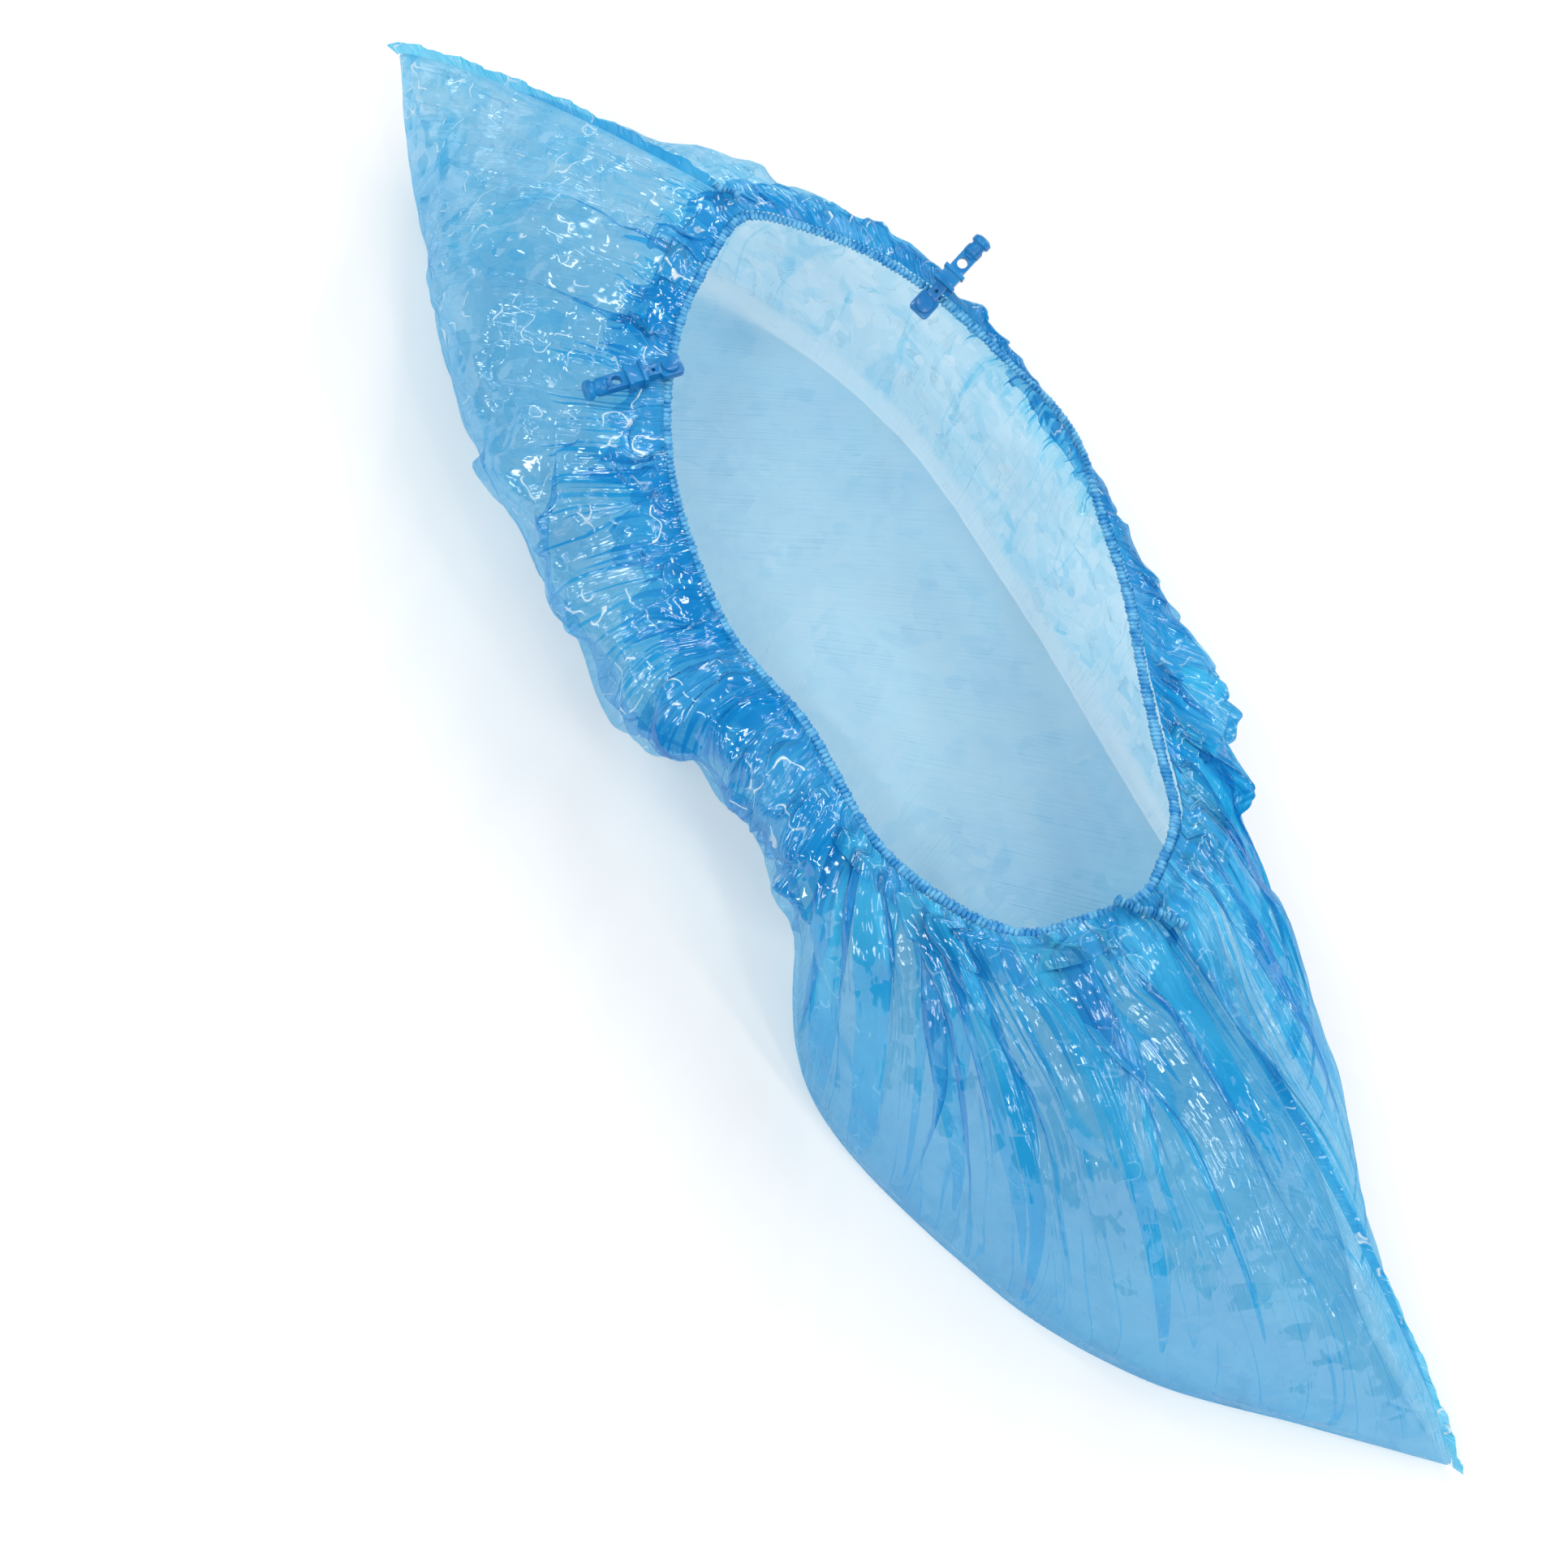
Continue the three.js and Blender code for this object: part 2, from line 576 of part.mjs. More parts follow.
function clip() {
  const body = (geometry, x, y = 0, z = 0) => solidOf(geometry.clone().translate(x, y, z));
  const discTop = BOSS.thick / 2 + BOSS.discHeight;
  const shankMiddle = BOSS.length / 2 + SHANK.length / 2;
  const boxMiddle = shankMiddle + SHANK.length / 2 + BOX.length / 2;
  const neckMiddle = boxMiddle + BOX.length / 2 + NECK.length / 2;
  const knobStart = neckMiddle + NECK.length / 2;
  const ribAt = BOX.length / 2 - BOX.ribThick / 2;
  const whole = joined(
    body(plate(BOSS.length, BOSS.width, BOSS.thick, BOSS.corner), 0),
    body(upright(BOSS.discRadius, discTop), 0, 0, discTop / 2),
    body(plate(SHANK.length + 2 * CLIP_LAP, SHANK.width, SHANK.thick), shankMiddle),
    body(new THREE.BoxGeometry(BOX.length, BOX.width, BOX.height), boxMiddle),
    ...[-1, 1].map((way) => body(
      new THREE.BoxGeometry(BOX.ribThick, BOX.width + 2 * BOX.ribHeight, BOX.height + BOX.ribHeight),
      boxMiddle + way * ribAt, 0, BOX.ribHeight / 2,
    )),
    body(plate(NECK.length + 2 * CLIP_LAP, NECK.width, NECK.thick), neckMiddle),
    body(knob(), knobStart),
  );
  const holes = [
    body(upright(SHANK.holeRadius, 4 * SHANK.thick), shankMiddle - SHANK.holeBack),
    body(upright(NECK.holeRadius, 4 * NECK.thick), neckMiddle),
  ];
  return holes.reduce((solid, hole) => solid.subtract(hole), whole);
}

// ---------------------------------------------------------------- the whole cover

const group = new THREE.Group();

function add(name, geometry, finish) {
  const mesh = new THREE.Mesh(geometry, new THREE.MeshStandardMaterial(finish));
  mesh.name = name;
  group.add(mesh);
  return mesh;
}

const rim = rimStations();
add('film_bag', filmBag(), FILM_BLUE);
add('elastic_hem', elasticHem(rim), RIM_BLUE);
TABS.forEach((tab) => add(tab.name, weldTab(tab), RIM_BLUE));

for (const { name, side, along, crossing, lift, heading, slope, roll } of CLIPS) {
  const station = Math.round(along * RIM.ribs);
  const { middle } = rim[side === 'right' ? station : 2 * RIM.ribs - station];
  const mesh = add(name, geometryFrom(clip()).translate(-crossing, 0, 0), CLIP_BLUE);
  mesh.position.copy(middle).add(new THREE.Vector3(0, 0, lift));
  const [x, y, z] = [roll, -slope, heading].map(THREE.MathUtils.degToRad);
  mesh.rotation.set(x, y, z, 'ZYX');
}

export default group;
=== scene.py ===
# %% [markdown]
# # A disposable shoe cover
# A film overshoe is a flat bag of thin polyethylene: one sheet folded under the sole, its two ends
# welded and its mouth rolled over a stretched elastic thread. Put on, the mouth gathers into hundreds of
# small puckers, long pleats fan out over the toe and the slack crumples at the waist and heel. This
# lesson builds that bag in Blender on top of an exact frame, in metres, +X to the toe and +Z up.

# %% The frame and the tools
import math

import bmesh
import bpy
import numpy as np
from mathutils import Matrix, Vector


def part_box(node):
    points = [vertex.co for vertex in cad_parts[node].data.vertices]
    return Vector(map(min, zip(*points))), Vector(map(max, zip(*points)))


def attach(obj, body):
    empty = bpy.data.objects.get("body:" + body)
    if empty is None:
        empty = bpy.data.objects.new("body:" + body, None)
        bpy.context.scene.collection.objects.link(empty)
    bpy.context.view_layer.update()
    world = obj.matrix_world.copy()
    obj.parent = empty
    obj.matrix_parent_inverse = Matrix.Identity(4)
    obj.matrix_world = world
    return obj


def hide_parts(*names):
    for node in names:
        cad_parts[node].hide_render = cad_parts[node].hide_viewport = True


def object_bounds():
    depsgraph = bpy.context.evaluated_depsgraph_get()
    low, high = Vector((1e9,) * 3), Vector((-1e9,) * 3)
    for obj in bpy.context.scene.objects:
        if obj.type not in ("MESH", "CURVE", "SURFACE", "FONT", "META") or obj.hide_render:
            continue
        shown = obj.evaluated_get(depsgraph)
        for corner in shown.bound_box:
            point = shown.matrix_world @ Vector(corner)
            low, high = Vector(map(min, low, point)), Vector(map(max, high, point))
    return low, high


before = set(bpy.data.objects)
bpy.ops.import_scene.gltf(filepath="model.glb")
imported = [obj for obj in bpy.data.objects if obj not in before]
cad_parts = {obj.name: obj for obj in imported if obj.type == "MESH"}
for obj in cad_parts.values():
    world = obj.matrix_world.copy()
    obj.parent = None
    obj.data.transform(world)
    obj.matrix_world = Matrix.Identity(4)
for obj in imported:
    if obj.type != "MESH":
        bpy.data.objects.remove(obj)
cad_box = [list(corner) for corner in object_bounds()]
MM = 0.001
print("plain model's box, mm:", [[round(v / MM, 1) for v in corner] for corner in cad_box])


# %% [markdown]
# ## Looking at it
# The camera comes first, so every later step can be judged from the same place. It looks down on the
# cover from behind the wearer's right side, and its three axes are given outright, then squared up.

# %% Camera
CAMERA_AT = Vector((0.22430, -0.23544, 0.60045))
CAMERA_RIGHT = Vector((0.437, 0.890, 0.127))
CAMERA_BACK = Vector((0.356, -0.300, 0.885))
CAMERA_LENS_MM = 67.08

back = CAMERA_BACK.normalized()
right = (CAMERA_RIGHT - CAMERA_RIGHT.dot(back) * back).normalized()
up = back.cross(right)
camera = bpy.data.objects.new("camera", bpy.data.cameras.new("camera"))
bpy.context.scene.collection.objects.link(camera)
camera.data.lens = CAMERA_LENS_MM
camera.data.sensor_width = 36
camera.data.clip_start = 0.01
camera.matrix_world = Matrix.Translation(CAMERA_AT) @ Matrix((right, up, back)).transposed().to_4x4()
bpy.context.scene.camera = camera
print("camera looks down at", round(math.degrees(math.asin(back.z)), 1), "degrees")


# %% [markdown]
# ## The plain bag
# The bag is two side panels. A place on a panel has two numbers: "along" runs from the toe weld (0) to the
# heel weld (1), and "down" from the mouth (0) to where the wall meets the floor (1). Each row of the
# tables says where the mouth's edge and the wall's foot lie at one station, in millimetres. They are
# the same numbers as the solid's, so the film stays near it.

# %% Stations of the two panels
COLUMNS = ("along", "hem_x", "hem_y", "hem_z", "foot_x", "foot_y", "foot_z", "round", "swell")
TOE_WELD = (0, 65, 2, 70, 184, 29, 0, 1.26, 0)
HEEL_WELD = (1, -132, 5, 58, -227, -40, 24, 1.3, 0)
PANELS = {
    "right": [
        TOE_WELD,
        (0.08, 65, -13, 70, 164, 5, 0, 1.8, 0),
        (0.17, 62, -27, 69, 140, -23, 0, 2.1, 0),
        (0.27, 48, -37, 65, 107, -44.5, 0, 2.2, 0),
        (0.38, 26, -43, 59, 54, -60, 0, 2.2, 4),
        (0.5, -4, -43, 56, 8, -42, 0, 2, 4),
        (0.62, -38, -46, 48, -40, -46, 0, 2, 15),
        (0.74, -76, -42, 54, -92, -49, 0, 2, 22),
        (0.86, -106, -27, 58, -146, -52, 1.5, 2, 22),
        (0.94, -124, -9, 59, -191, -49, 11, 1.5, 5),
        HEEL_WELD,
    ],
    "left": [
        TOE_WELD,
        (0.08, 59, 11, 69, 150, 29, 0, 1.6, 0),
        (0.17, 50, 20, 65, 128, 35, 0, 1.8, 0),
        (0.27, 35, 27, 60, 98, 41, 0, 1.9, 0),
        (0.38, 14, 35, 57, 60, 44.5, 0, 2, 1),
        (0.5, -12, 45, 54, 12, 44, 0, 2, 4),
        (0.62, -44, 50, 53, -42, 43, 0, 2, 2),
        (0.74, -80, 46, 54, -94, 38, 0, 2, 3),
        (0.86, -107, 34, 56, -138, 20, 1.5, 1.8, 5),
        (0.94, -123, 20, 57, -178, -6, 11, 1.5, 9),
        HEEL_WELD,
    ],
}
WALL = 1.2
TOE_CORNER, HEEL_CORNER = np.array((184.0, 29, 0)), np.array((-227.0, -40, 24))
KEEL_RISE_FROM, FOOT_FROM, SWELL_POWER = 0.8, 0.8, 0.8
SPINE_FROM_X, SPINE_TO_X = -85, 25
OTHER = {"right": "left", "left": "right"}
SIGN = {"right": 1, "left": -1}


def smooth(t):
    t = np.clip(t, 0, 1)
    return t * t * (3 - 2 * t)


def column(side, name, along):
    """Cubic interpolation of one column of a panel's table.

    The mouth's edge runs on round the other panel.
    """
    k = COLUMNS.index(name)
    rows = [(row[0], row[k]) for row in PANELS[side]]
    if name.startswith("hem"):
        other = PANELS[OTHER[side]]
        rows = [(-other[1][0], other[1][k]), *rows, (2 - other[-2][0], other[-2][k])]
    x, y = np.array(rows, float).T
    slope = np.empty(len(x))
    slope[1:-1] = (y[2:] - y[:-2]) / (x[2:] - x[:-2])
    slope[0] = (y[1] - y[0]) / (x[1] - x[0])
    slope[-1] = (y[-1] - y[-2]) / (x[-1] - x[-2])
    i = np.clip(np.searchsorted(x, along), 1, len(x) - 1)
    span = x[i] - x[i - 1]
    t = (along - x[i - 1]) / span
    return (
        (2 * t**3 - 3 * t**2 + 1) * y[i - 1]
        + (t**3 - 2 * t**2 + t) * slope[i - 1] * span
        + (3 * t**2 - 2 * t**3) * y[i]
        + (t**3 - t**2) * slope[i] * span
    )


def unit(v):
    return v / np.maximum(np.linalg.norm(v, axis=-1, keepdims=True), 1e-9)


def foot_point(side, along):
    foot = np.stack([column(side, name, along) for name in ("foot_x", "foot_y", "foot_z")], -1)
    foot[..., 2] = np.maximum(foot[..., 2], 0)
    return foot


def fold_point(along):
    rise = np.maximum(0, (along - KEEL_RISE_FROM) / (1 - KEEL_RISE_FROM)) ** 3
    share = np.stack([along, along, rise], -1)
    return TOE_CORNER + (HEEL_CORNER - TOE_CORNER) * share


def plain_wall(side, along, down):
    """The panel's inner face without a fold in it."""
    hem = np.stack([column(side, name, along) for name in ("hem_x", "hem_y", "hem_z")], -1)
    foot = foot_point(side, along)
    power = 2 / column(side, "round", along)
    out = np.sin(down * np.pi / 2) ** power
    fall = np.maximum(np.cos(down * np.pi / 2), 0) ** power
    point = hem + (foot - hem) * out[..., None]
    point[..., 2] = foot[..., 2] + (hem[..., 2] - foot[..., 2]) * fall
    away = point * (1, 1, 0)
    away[..., 0] -= np.clip(point[..., 0], SPINE_FROM_X, SPINE_TO_X)
    swell = np.maximum(0, column(side, "swell", along)) * np.sin(np.pi * np.clip(down, 0, 1)) ** SWELL_POWER
    return point + unit(away) * swell[..., None]


def ways(side, along, down, step=0.01):
    """Unit vectors at a place of the wall: out of the bag, towards the heel, and down to the foot."""
    a0, a1 = np.clip(along - step, 0, 1), np.clip(along + step, 0, 1)
    d0, d1 = np.clip(down - step, 0, 1), np.clip(down + step, 0, 1)
    heelward = unit(plain_wall(side, a1, down) - plain_wall(side, a0, down))
    downward = unit(plain_wall(side, along, d1) - plain_wall(side, along, d0))
    outward = unit(np.cross(heelward, downward))
    return outward * SIGN[side], heelward, downward


print("stations:", {side: len(rows) for side, rows in PANELS.items()})


# %% [markdown]
# ## The slack in the film
# Three families of soft waves run down from the gathered mouth, and a few pouches swell where the
# slack is greatest. The solid has these too. They carry the finer folds that come next.

# %% Waves and pouches
GATHERS = [(20, 1.3, 0.34, 0.4), (11.5, 2.0, 0.75, 1.9), (6.3, 1.6, 1.0, 0.9)]
RELIEF_FULL = {"toe_weld": 0.05, "heel_weld": 0.08, "gather": 0.09, "pouch": 0.2}
PANEL_SLIP = {"right": 0, "left": 2.4}
POUCHES = {
    "right": [(0.5, 0.2, 0.045, 0.2, 6), (0.57, 0.3, 0.04, 0.24, 7), (0.65, 0.22, 0.05, 0.22, 5)],
    "left": [(0.4, 0.2, 0.035, 0.16, 4), (0.47, 0.18, 0.03, 0.14, 5)],
}


def relief(side, along, down, waves=1):
    """Height of the waves and pouches over the plain wall, in millimetres. waves is the waves' share."""
    turn = PANEL_SLIP[side]
    height = np.zeros_like(along)
    for folds, depth, reach, slip in GATHERS:
        fade = (1 - smooth(down / reach)) * smooth(down / RELIEF_FULL["gather"])
        sway = 0.35 * np.sin(5.2 * along + slip) + 0.05 * np.sin(31 * along + turn)
        height += waves * depth * fade * np.sin(2 * np.pi * (folds * along + sway) + slip + turn)
    for middle, low, wide, tall, out in POUCHES[side]:
        far = ((along - middle) / wide) ** 2 + ((down - low) / tall) ** 2
        height += out * np.exp(-far) * smooth(down / RELIEF_FULL["pouch"])
    at_welds = smooth(along / RELIEF_FULL["toe_weld"]) * smooth((1 - along) / RELIEF_FULL["heel_weld"])
    return height * at_welds * (1 - smooth((down - FOOT_FROM) / (1 - FOOT_FROM)))


# %% [markdown]
# ## Pleats
# A pleat of limp film doesn't stand up like a wave: it falls over and lies flat, three layers deep, which
# is why gathered film shows dark bands with hard edges. Each pleat here is a narrow ridge whose crest is
# pushed a little out of the wall and further sideways. Where the push is steep enough, mostly near the
# rim, the film folds back under the crest. Nothing keeps crowded pleats apart, so some of them pass
# through each other. Working in millimetres measured on the panel keeps a pleat's width the same
# wherever it lies.

# %% Pleats and puffs
STEPS, WALL_STEPS, SOLE_STEPS = 430, 104, 6
dice = np.random.RandomState(11)


def measured(side, along, down):
    """Plain points of a grid on one wall, with distances along and down it in millimetres."""
    at = plain_wall(side, along, down)
    steps_across = np.linalg.norm(np.diff(at, axis=0), axis=-1)
    steps_down = np.linalg.norm(np.diff(at, axis=1), axis=-1)
    across = np.concatenate([np.zeros((1, at.shape[1])), np.cumsum(steps_across, 0)])
    deep = np.concatenate([np.zeros((at.shape[0], 1)), np.cumsum(steps_down, 1)], 1)
    return {"along": along, "down": down, "at": at, "across": across, "deep": deep}


def panel_grid(side):
    """The grid of a whole wall, with rows closer together near the mouth."""
    return measured(side, *np.meshgrid(
        np.linspace(0, 1, STEPS + 1), np.linspace(0, 1, WALL_STEPS + 1) ** 1.12, indexing="ij"
    ))


def pleat(grid, start, drift, reach, width, widen, height, lean):
    """How far one pleat moves each point out of the wall and sideways."""
    last = len(grid["along"]) - 1
    columns = np.clip(start + drift * smooth(grid["deep"] / reach), 0, 1) * last
    low = np.clip(columns.astype(int), 0, last - 1)
    rows = np.arange(low.shape[1])[None, :]
    share = columns - low
    middle = grid["across"][low, rows] * (1 - share) + grid["across"][low + 1, rows] * share
    wide = width + widen * smooth(grid["deep"] / reach)
    fade = 1 - smooth((grid["deep"] / reach - 0.45) / 0.55)
    crest = np.exp(-(((grid["across"] - middle) / wide) ** 2)) * fade
    return height * crest, lean * crest


def puff(grid, start, deep, wide, tall, height, sag):
    """How far one puff of slack moves each point out of the wall and down it."""
    column_across = grid["across"][int(start * (len(grid["along"]) - 1))]
    far = ((grid["across"] - column_across) / wide) ** 2 + ((grid["deep"] - deep) / tall) ** 2
    crest = np.exp(-far)
    return height * crest, sag * crest


def spread_out(count, first, last):
    """Evenly spaced places with a little luck in them."""
    return first + (last - first) * (np.arange(count) + dice.uniform(-0.35, 0.35, count) + 0.5) / count


def each_fold(rows):
    """Where every fold of the families starts, with its own numbers drawn from the family's ranges."""
    for count, first, last, *ranges in rows:
        for start in spread_out(count, first, last):
            yield start, [dice.uniform(*span) for span in ranges]


def draw_pleats(rows):
    """Settles every pleat of a panel."""
    drawn = []
    for start, (reach, width, widen, height, lean) in each_fold(rows):
        lean *= 1 if dice.rand() < 0.65 else -1
        drawn.append((start, dice.uniform(-0.012, 0.012), reach, width, widen, height, lean))
    return drawn


def draw_puffs(rows):
    """Settles every puff of a panel."""
    drawn = []
    for start, (deep, radius, height, sag) in each_fold(rows):
        wide, tall = radius * dice.uniform(1.0, 1.9), radius * dice.uniform(0.6, 1.0)
        drawn.append((start, deep, wide, tall, height, sag))
    return drawn


PLEAT_ROWS = {
    # families: count, from, to, reach, width, widening, height, lean
    "right": [
        (30, 0.03, 0.42, (18, 50), (1.1, 1.8), (0.2, 1.2), (0.5, 1.1), (1.8, 3.4)),
        (20, 0.02, 0.43, (50, 140), (1.2, 2.0), (1.2, 3.4), (0.6, 1.3), (2.6, 6.0)),
        (18, 0.43, 0.98, (4, 15), (1.0, 2.1), (0.4, 2.0), (0.6, 1.4), (1.4, 3.8)),
        (6, 0.74, 0.97, (40, 95), (1.6, 2.6), (2.0, 5.0), (0.5, 1.2), (2.0, 5.0)),
    ],
    "left": [
        (22, 0.03, 0.36, (18, 45), (1.1, 1.8), (0.2, 1.2), (0.5, 1.1), (1.8, 3.4)),
        (13, 0.02, 0.36, (50, 120), (1.2, 2.0), (1.2, 3.4), (0.6, 1.3), (2.6, 5.5)),
        (28, 0.38, 0.98, (5, 14), (1.0, 1.8), (0.4, 1.4), (0.4, 0.9), (1.2, 2.6)),
        (4, 0.80, 0.97, (35, 80), (1.6, 2.6), (2.0, 5.0), (0.4, 0.9), (2.0, 4.0)),
    ],
}
GATHER_ROWS = {
    "right": [
        (40, 0.006, 0.42, (9, 30), (0.55, 0.85), (0.2, 1.0), (0.6, 1.4), (0.9, 2.4)),
        (32, 0.42, 0.994, (3, 13), (0.55, 1.1), (0.2, 1.0), (0.5, 1.3), (0.9, 2.6)),
    ],
    "left": [
        (36, 0.006, 0.38, (9, 30), (0.55, 0.85), (0.2, 1.0), (0.6, 1.4), (0.9, 2.4)),
        (34, 0.38, 0.994, (3, 11), (0.55, 1.0), (0.2, 1.0), (0.4, 1.0), (0.9, 2.2)),
    ],
}
PUFF_ROWS = {
    # count, from, to, deep, radius, height, sag
    "right": [
        (48, 0.42, 0.80, (4, 30), (1.6, 3.8), (0.8, 2.4), (1.0, 3.4)),
        (26, 0.43, 0.78, (9, 40), (4.0, 8.5), (1.8, 4.2), (1.5, 5.5)),
        (76, 0.43, 0.985, (2, 14), (1.3, 2.6), (0.6, 1.6), (0.8, 2.6)),
    ],
    "left": [
        (30, 0.28, 0.60, (4, 20), (1.6, 3.6), (0.8, 2.0), (0.8, 2.8)),
        (9, 0.30, 0.55, (8, 20), (3.6, 6.0), (1.5, 3.2), (1.0, 3.6)),
        (56, 0.38, 0.985, (2, 11), (1.3, 2.4), (0.5, 1.2), (0.8, 2.2)),
    ],
}
PLEATS = {side: draw_pleats(rows) for side, rows in PLEAT_ROWS.items()}
GATHER_PLEATS = {side: draw_pleats(rows) for side, rows in GATHER_ROWS.items()}
PUFFS = {side: draw_puffs(rows) for side, rows in PUFF_ROWS.items()}
FINE_SHARE = 0.45


def folded(side, grid, fine_share):
    """Adds every pleat and puff of a panel: out of the wall, towards the heel and downwards."""
    out, heelward, downward = (np.zeros_like(grid["along"]) for _ in range(3))
    for share, pleats in ((1, PLEATS[side]), (fine_share, GATHER_PLEATS[side])):
        for numbers in pleats:
            rise, slide = pleat(grid, *numbers)
            out += share * rise
            heelward += share * slide
    for numbers in PUFFS[side]:
        rise, fall = puff(grid, *numbers)
        out += rise
        downward += fall
    at_mouth = 0.3 + 0.7 * smooth(grid["deep"] / 3.0)
    at_welds = smooth(grid["along"] / 0.02) * smooth((1 - grid["along"]) / 0.03)
    at_foot = 1 - smooth((grid["down"] - 0.72) / 0.28)
    keep = at_mouth * at_welds * at_foot
    return out * keep, heelward * keep, downward * smooth(grid["deep"] / 3.0) * keep


print("pleats:", {side: len(PLEATS[side]) + len(GATHER_PLEATS[side]) for side in PANELS})


# %% [markdown]
# ## Crumpled facets
# Film that has been folded for storage keeps a net of creases with nearly flat facets between them. A sum of
# zigzag waves in random directions comes close to that: flat slopes that meet in sharp lines. A slow
# warp keeps the creases from running straight, and a patchy mask leaves some places nearly smooth.

# %% Facets
def zigzag(points, size, waves, seed):
    """Facets about size across, between -1 and 1."""
    luck = np.random.RandomState(seed)
    warp = np.zeros_like(points)
    for _ in range(3):
        way = unit(luck.normal(size=3))
        push = unit(luck.normal(size=3))
        warp += push * np.sin(points @ way * (2 * np.pi / (size * 2.3)) + luck.uniform(0, 6))[..., None]
    points = points + warp * size * 0.22
    total = np.zeros(points.shape[:-1])
    for _ in range(waves):
        way = unit(luck.normal(size=3))
        turns = points @ way / (size * luck.uniform(0.75, 1.7)) + luck.uniform()
        total += (4 * np.abs(turns - np.floor(turns) - 0.5) - 1) * luck.uniform(0.5, 1)
    return total / (0.55 * waves)


def patches(points, size, seed):
    """A slow mask between 0 and 1."""
    luck = np.random.RandomState(seed)
    total = np.zeros(points.shape[:-1])
    for _ in range(5):
        way = unit(luck.normal(size=3))
        total += np.sin(points @ way * (2 * np.pi / (size * luck.uniform(0.8, 1.5))) + luck.uniform(0, 6))
    return smooth(0.5 + 0.32 * total)


def crumple(side, grid):
    """Height of the facets on a panel, strongest at the waist and on the slack heel."""
    along, down, at, deep = grid["along"], grid["down"], grid["at"], grid["deep"]
    front = 0.43 if side == "right" else 0.36
    waist = smooth((along - front) / 0.06) * (1 - smooth((along - 0.70) / 0.08))
    heel = smooth((along - 0.70) / 0.08)
    broad = zigzag(at, 24, 6, 3) * (0.20 + 1.5 * heel + 1.0 * waist)
    middling = zigzag(at, 11, 7, 5) * (0.12 + 1.25 * heel + 1.6 * waist) * (0.45 + 0.55 * patches(at, 60, 8))
    fine = zigzag(at, 5.5, 7, 9) * (0.06 + 0.55 * heel + 0.65 * waist) * (0.3 + 0.7 * patches(at, 34, 12))
    fan = np.stack([along * 350, deep * 0.16, np.zeros_like(deep)], -1)
    near = 1 - smooth(deep / 150)
    drawn = zigzag(fan, 11, 6, 21) * (0.25 + 0.55 * near) + zigzag(fan, 5, 6, 23) * (0.08 + 0.26 * near)
    drawn = drawn * (0.45 + 0.55 * patches(at, 45, 31)) * (1 - 0.7 * np.maximum(waist, heel))
    at_foot = 1 - 0.85 * smooth((down - 0.8) / 0.2)
    at_welds = smooth(along / 0.015) * smooth((1 - along) / 0.02)
    return (broad + middling + fine + drawn) * smooth(deep / 3) * at_foot * at_welds


# %% [markdown]
# ## The film
# The two walls, their halves of the sole and the strip that goes up into the rolled rim are one sheet, as on
# the real bag. The panels share the points of the welds and of the fold, so no gap opens there.

# %% Film mesh
SHEET_OUT, SHEET_LONG = 1.08, 450
RIM_TUCK = 1.9
WELD_BLEND = 0.03
CLIP_CLEAR, CLIP_BLEND = 1.5, 5.0


def weld_way(end, down):
    """The way out of the bag at a weld, between the two panels that meet there."""
    inside = np.full_like(down, abs(end - 0.02))
    at = plain_wall("right", np.full_like(down, end), down)
    sides = {side: plain_wall(side, inside, down) for side in PANELS}
    apart = np.linalg.norm(sides["right"] - sides["left"], axis=-1, keepdims=True)
    reach = 2 * at - sides["right"] - sides["left"]
    normals = sum(ways(side, inside, np.minimum(down, 0.98))[0] for side in PANELS)
    return unit(normals + reach * 2 / np.maximum(apart, 0.5))


def off_clips(at):
    """1 away from the clips, falling to 0 under them, where the film lies as plainly as the solid."""
    free = np.ones(at.shape[:-1])
    for node in ("hook_clip_right", "hook_clip_left"):
        low, high = (np.array(corner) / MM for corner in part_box(node))
        gap = np.linalg.norm(np.maximum(np.maximum(low - at, at - high), 0), axis=-1)
        free *= smooth((gap - CLIP_CLEAR) / CLIP_BLEND)
    return free


def folded_wall(side, grid, fine_share):
    """Points of a wall's film with all its folds, a little outside the solid's inner face."""
    outward, heelward, downward = ways(side, grid["along"], grid["down"])
    out, heel, fall = folded(side, grid, fine_share)
    behind = smooth((grid["along"] - 0.4) / 0.06)
    waves = (0.25 + 0.75 * patches(grid["at"], 34, 41)) * (1 - 0.75 * behind)
    stirred = grid["along"] + 0.03 * (patches(grid["at"], 30, 51) - 0.5)
    free = off_clips(grid["at"])
    height = (relief(side, stirred, grid["down"], waves) + out + crumple(side, grid)) * free
    height += relief(side, grid["along"], grid["down"]) * (1 - free)
    lift = outward.copy()
    for end, near in ((0.0, grid["along"]), (1.0, 1 - grid["along"])):
        share = (1 - smooth(near / WELD_BLEND))[..., None]
        at_weld = weld_way(end, grid["down"][-1 if end else 0])
        lift = unit(lift * (1 - share) + at_weld[None] * share)
    to_floor = smooth((grid["down"] - 0.9) / 0.1)[..., None]
    lift = unit(lift * (1 - to_floor) + np.array((0, 0, -1.0)) * to_floor)
    at = grid["at"] + outward * height[..., None] + heelward * (heel * free)[..., None]
    at = at + downward * (fall * free)[..., None] + lift * SHEET_OUT
    at[..., 2] = np.maximum(at[..., 2], -SHEET_OUT)
    tuck = at[:, :1] - downward[:, :1] * RIM_TUCK
    return np.concatenate([tuck, at], 1), np.concatenate([np.full((len(at), 1), -RIM_TUCK), grid["deep"]], 1)


def flat_place(side, along, deep):
    """Where points lie on the flat sheet, in millimetres.

    The toe weld is at 0, and each panel runs its own way.
    """
    across = np.repeat(along[:, :1], deep.shape[1], 1) * SHEET_LONG * SIGN[side]
    return np.stack([across, deep], -1)


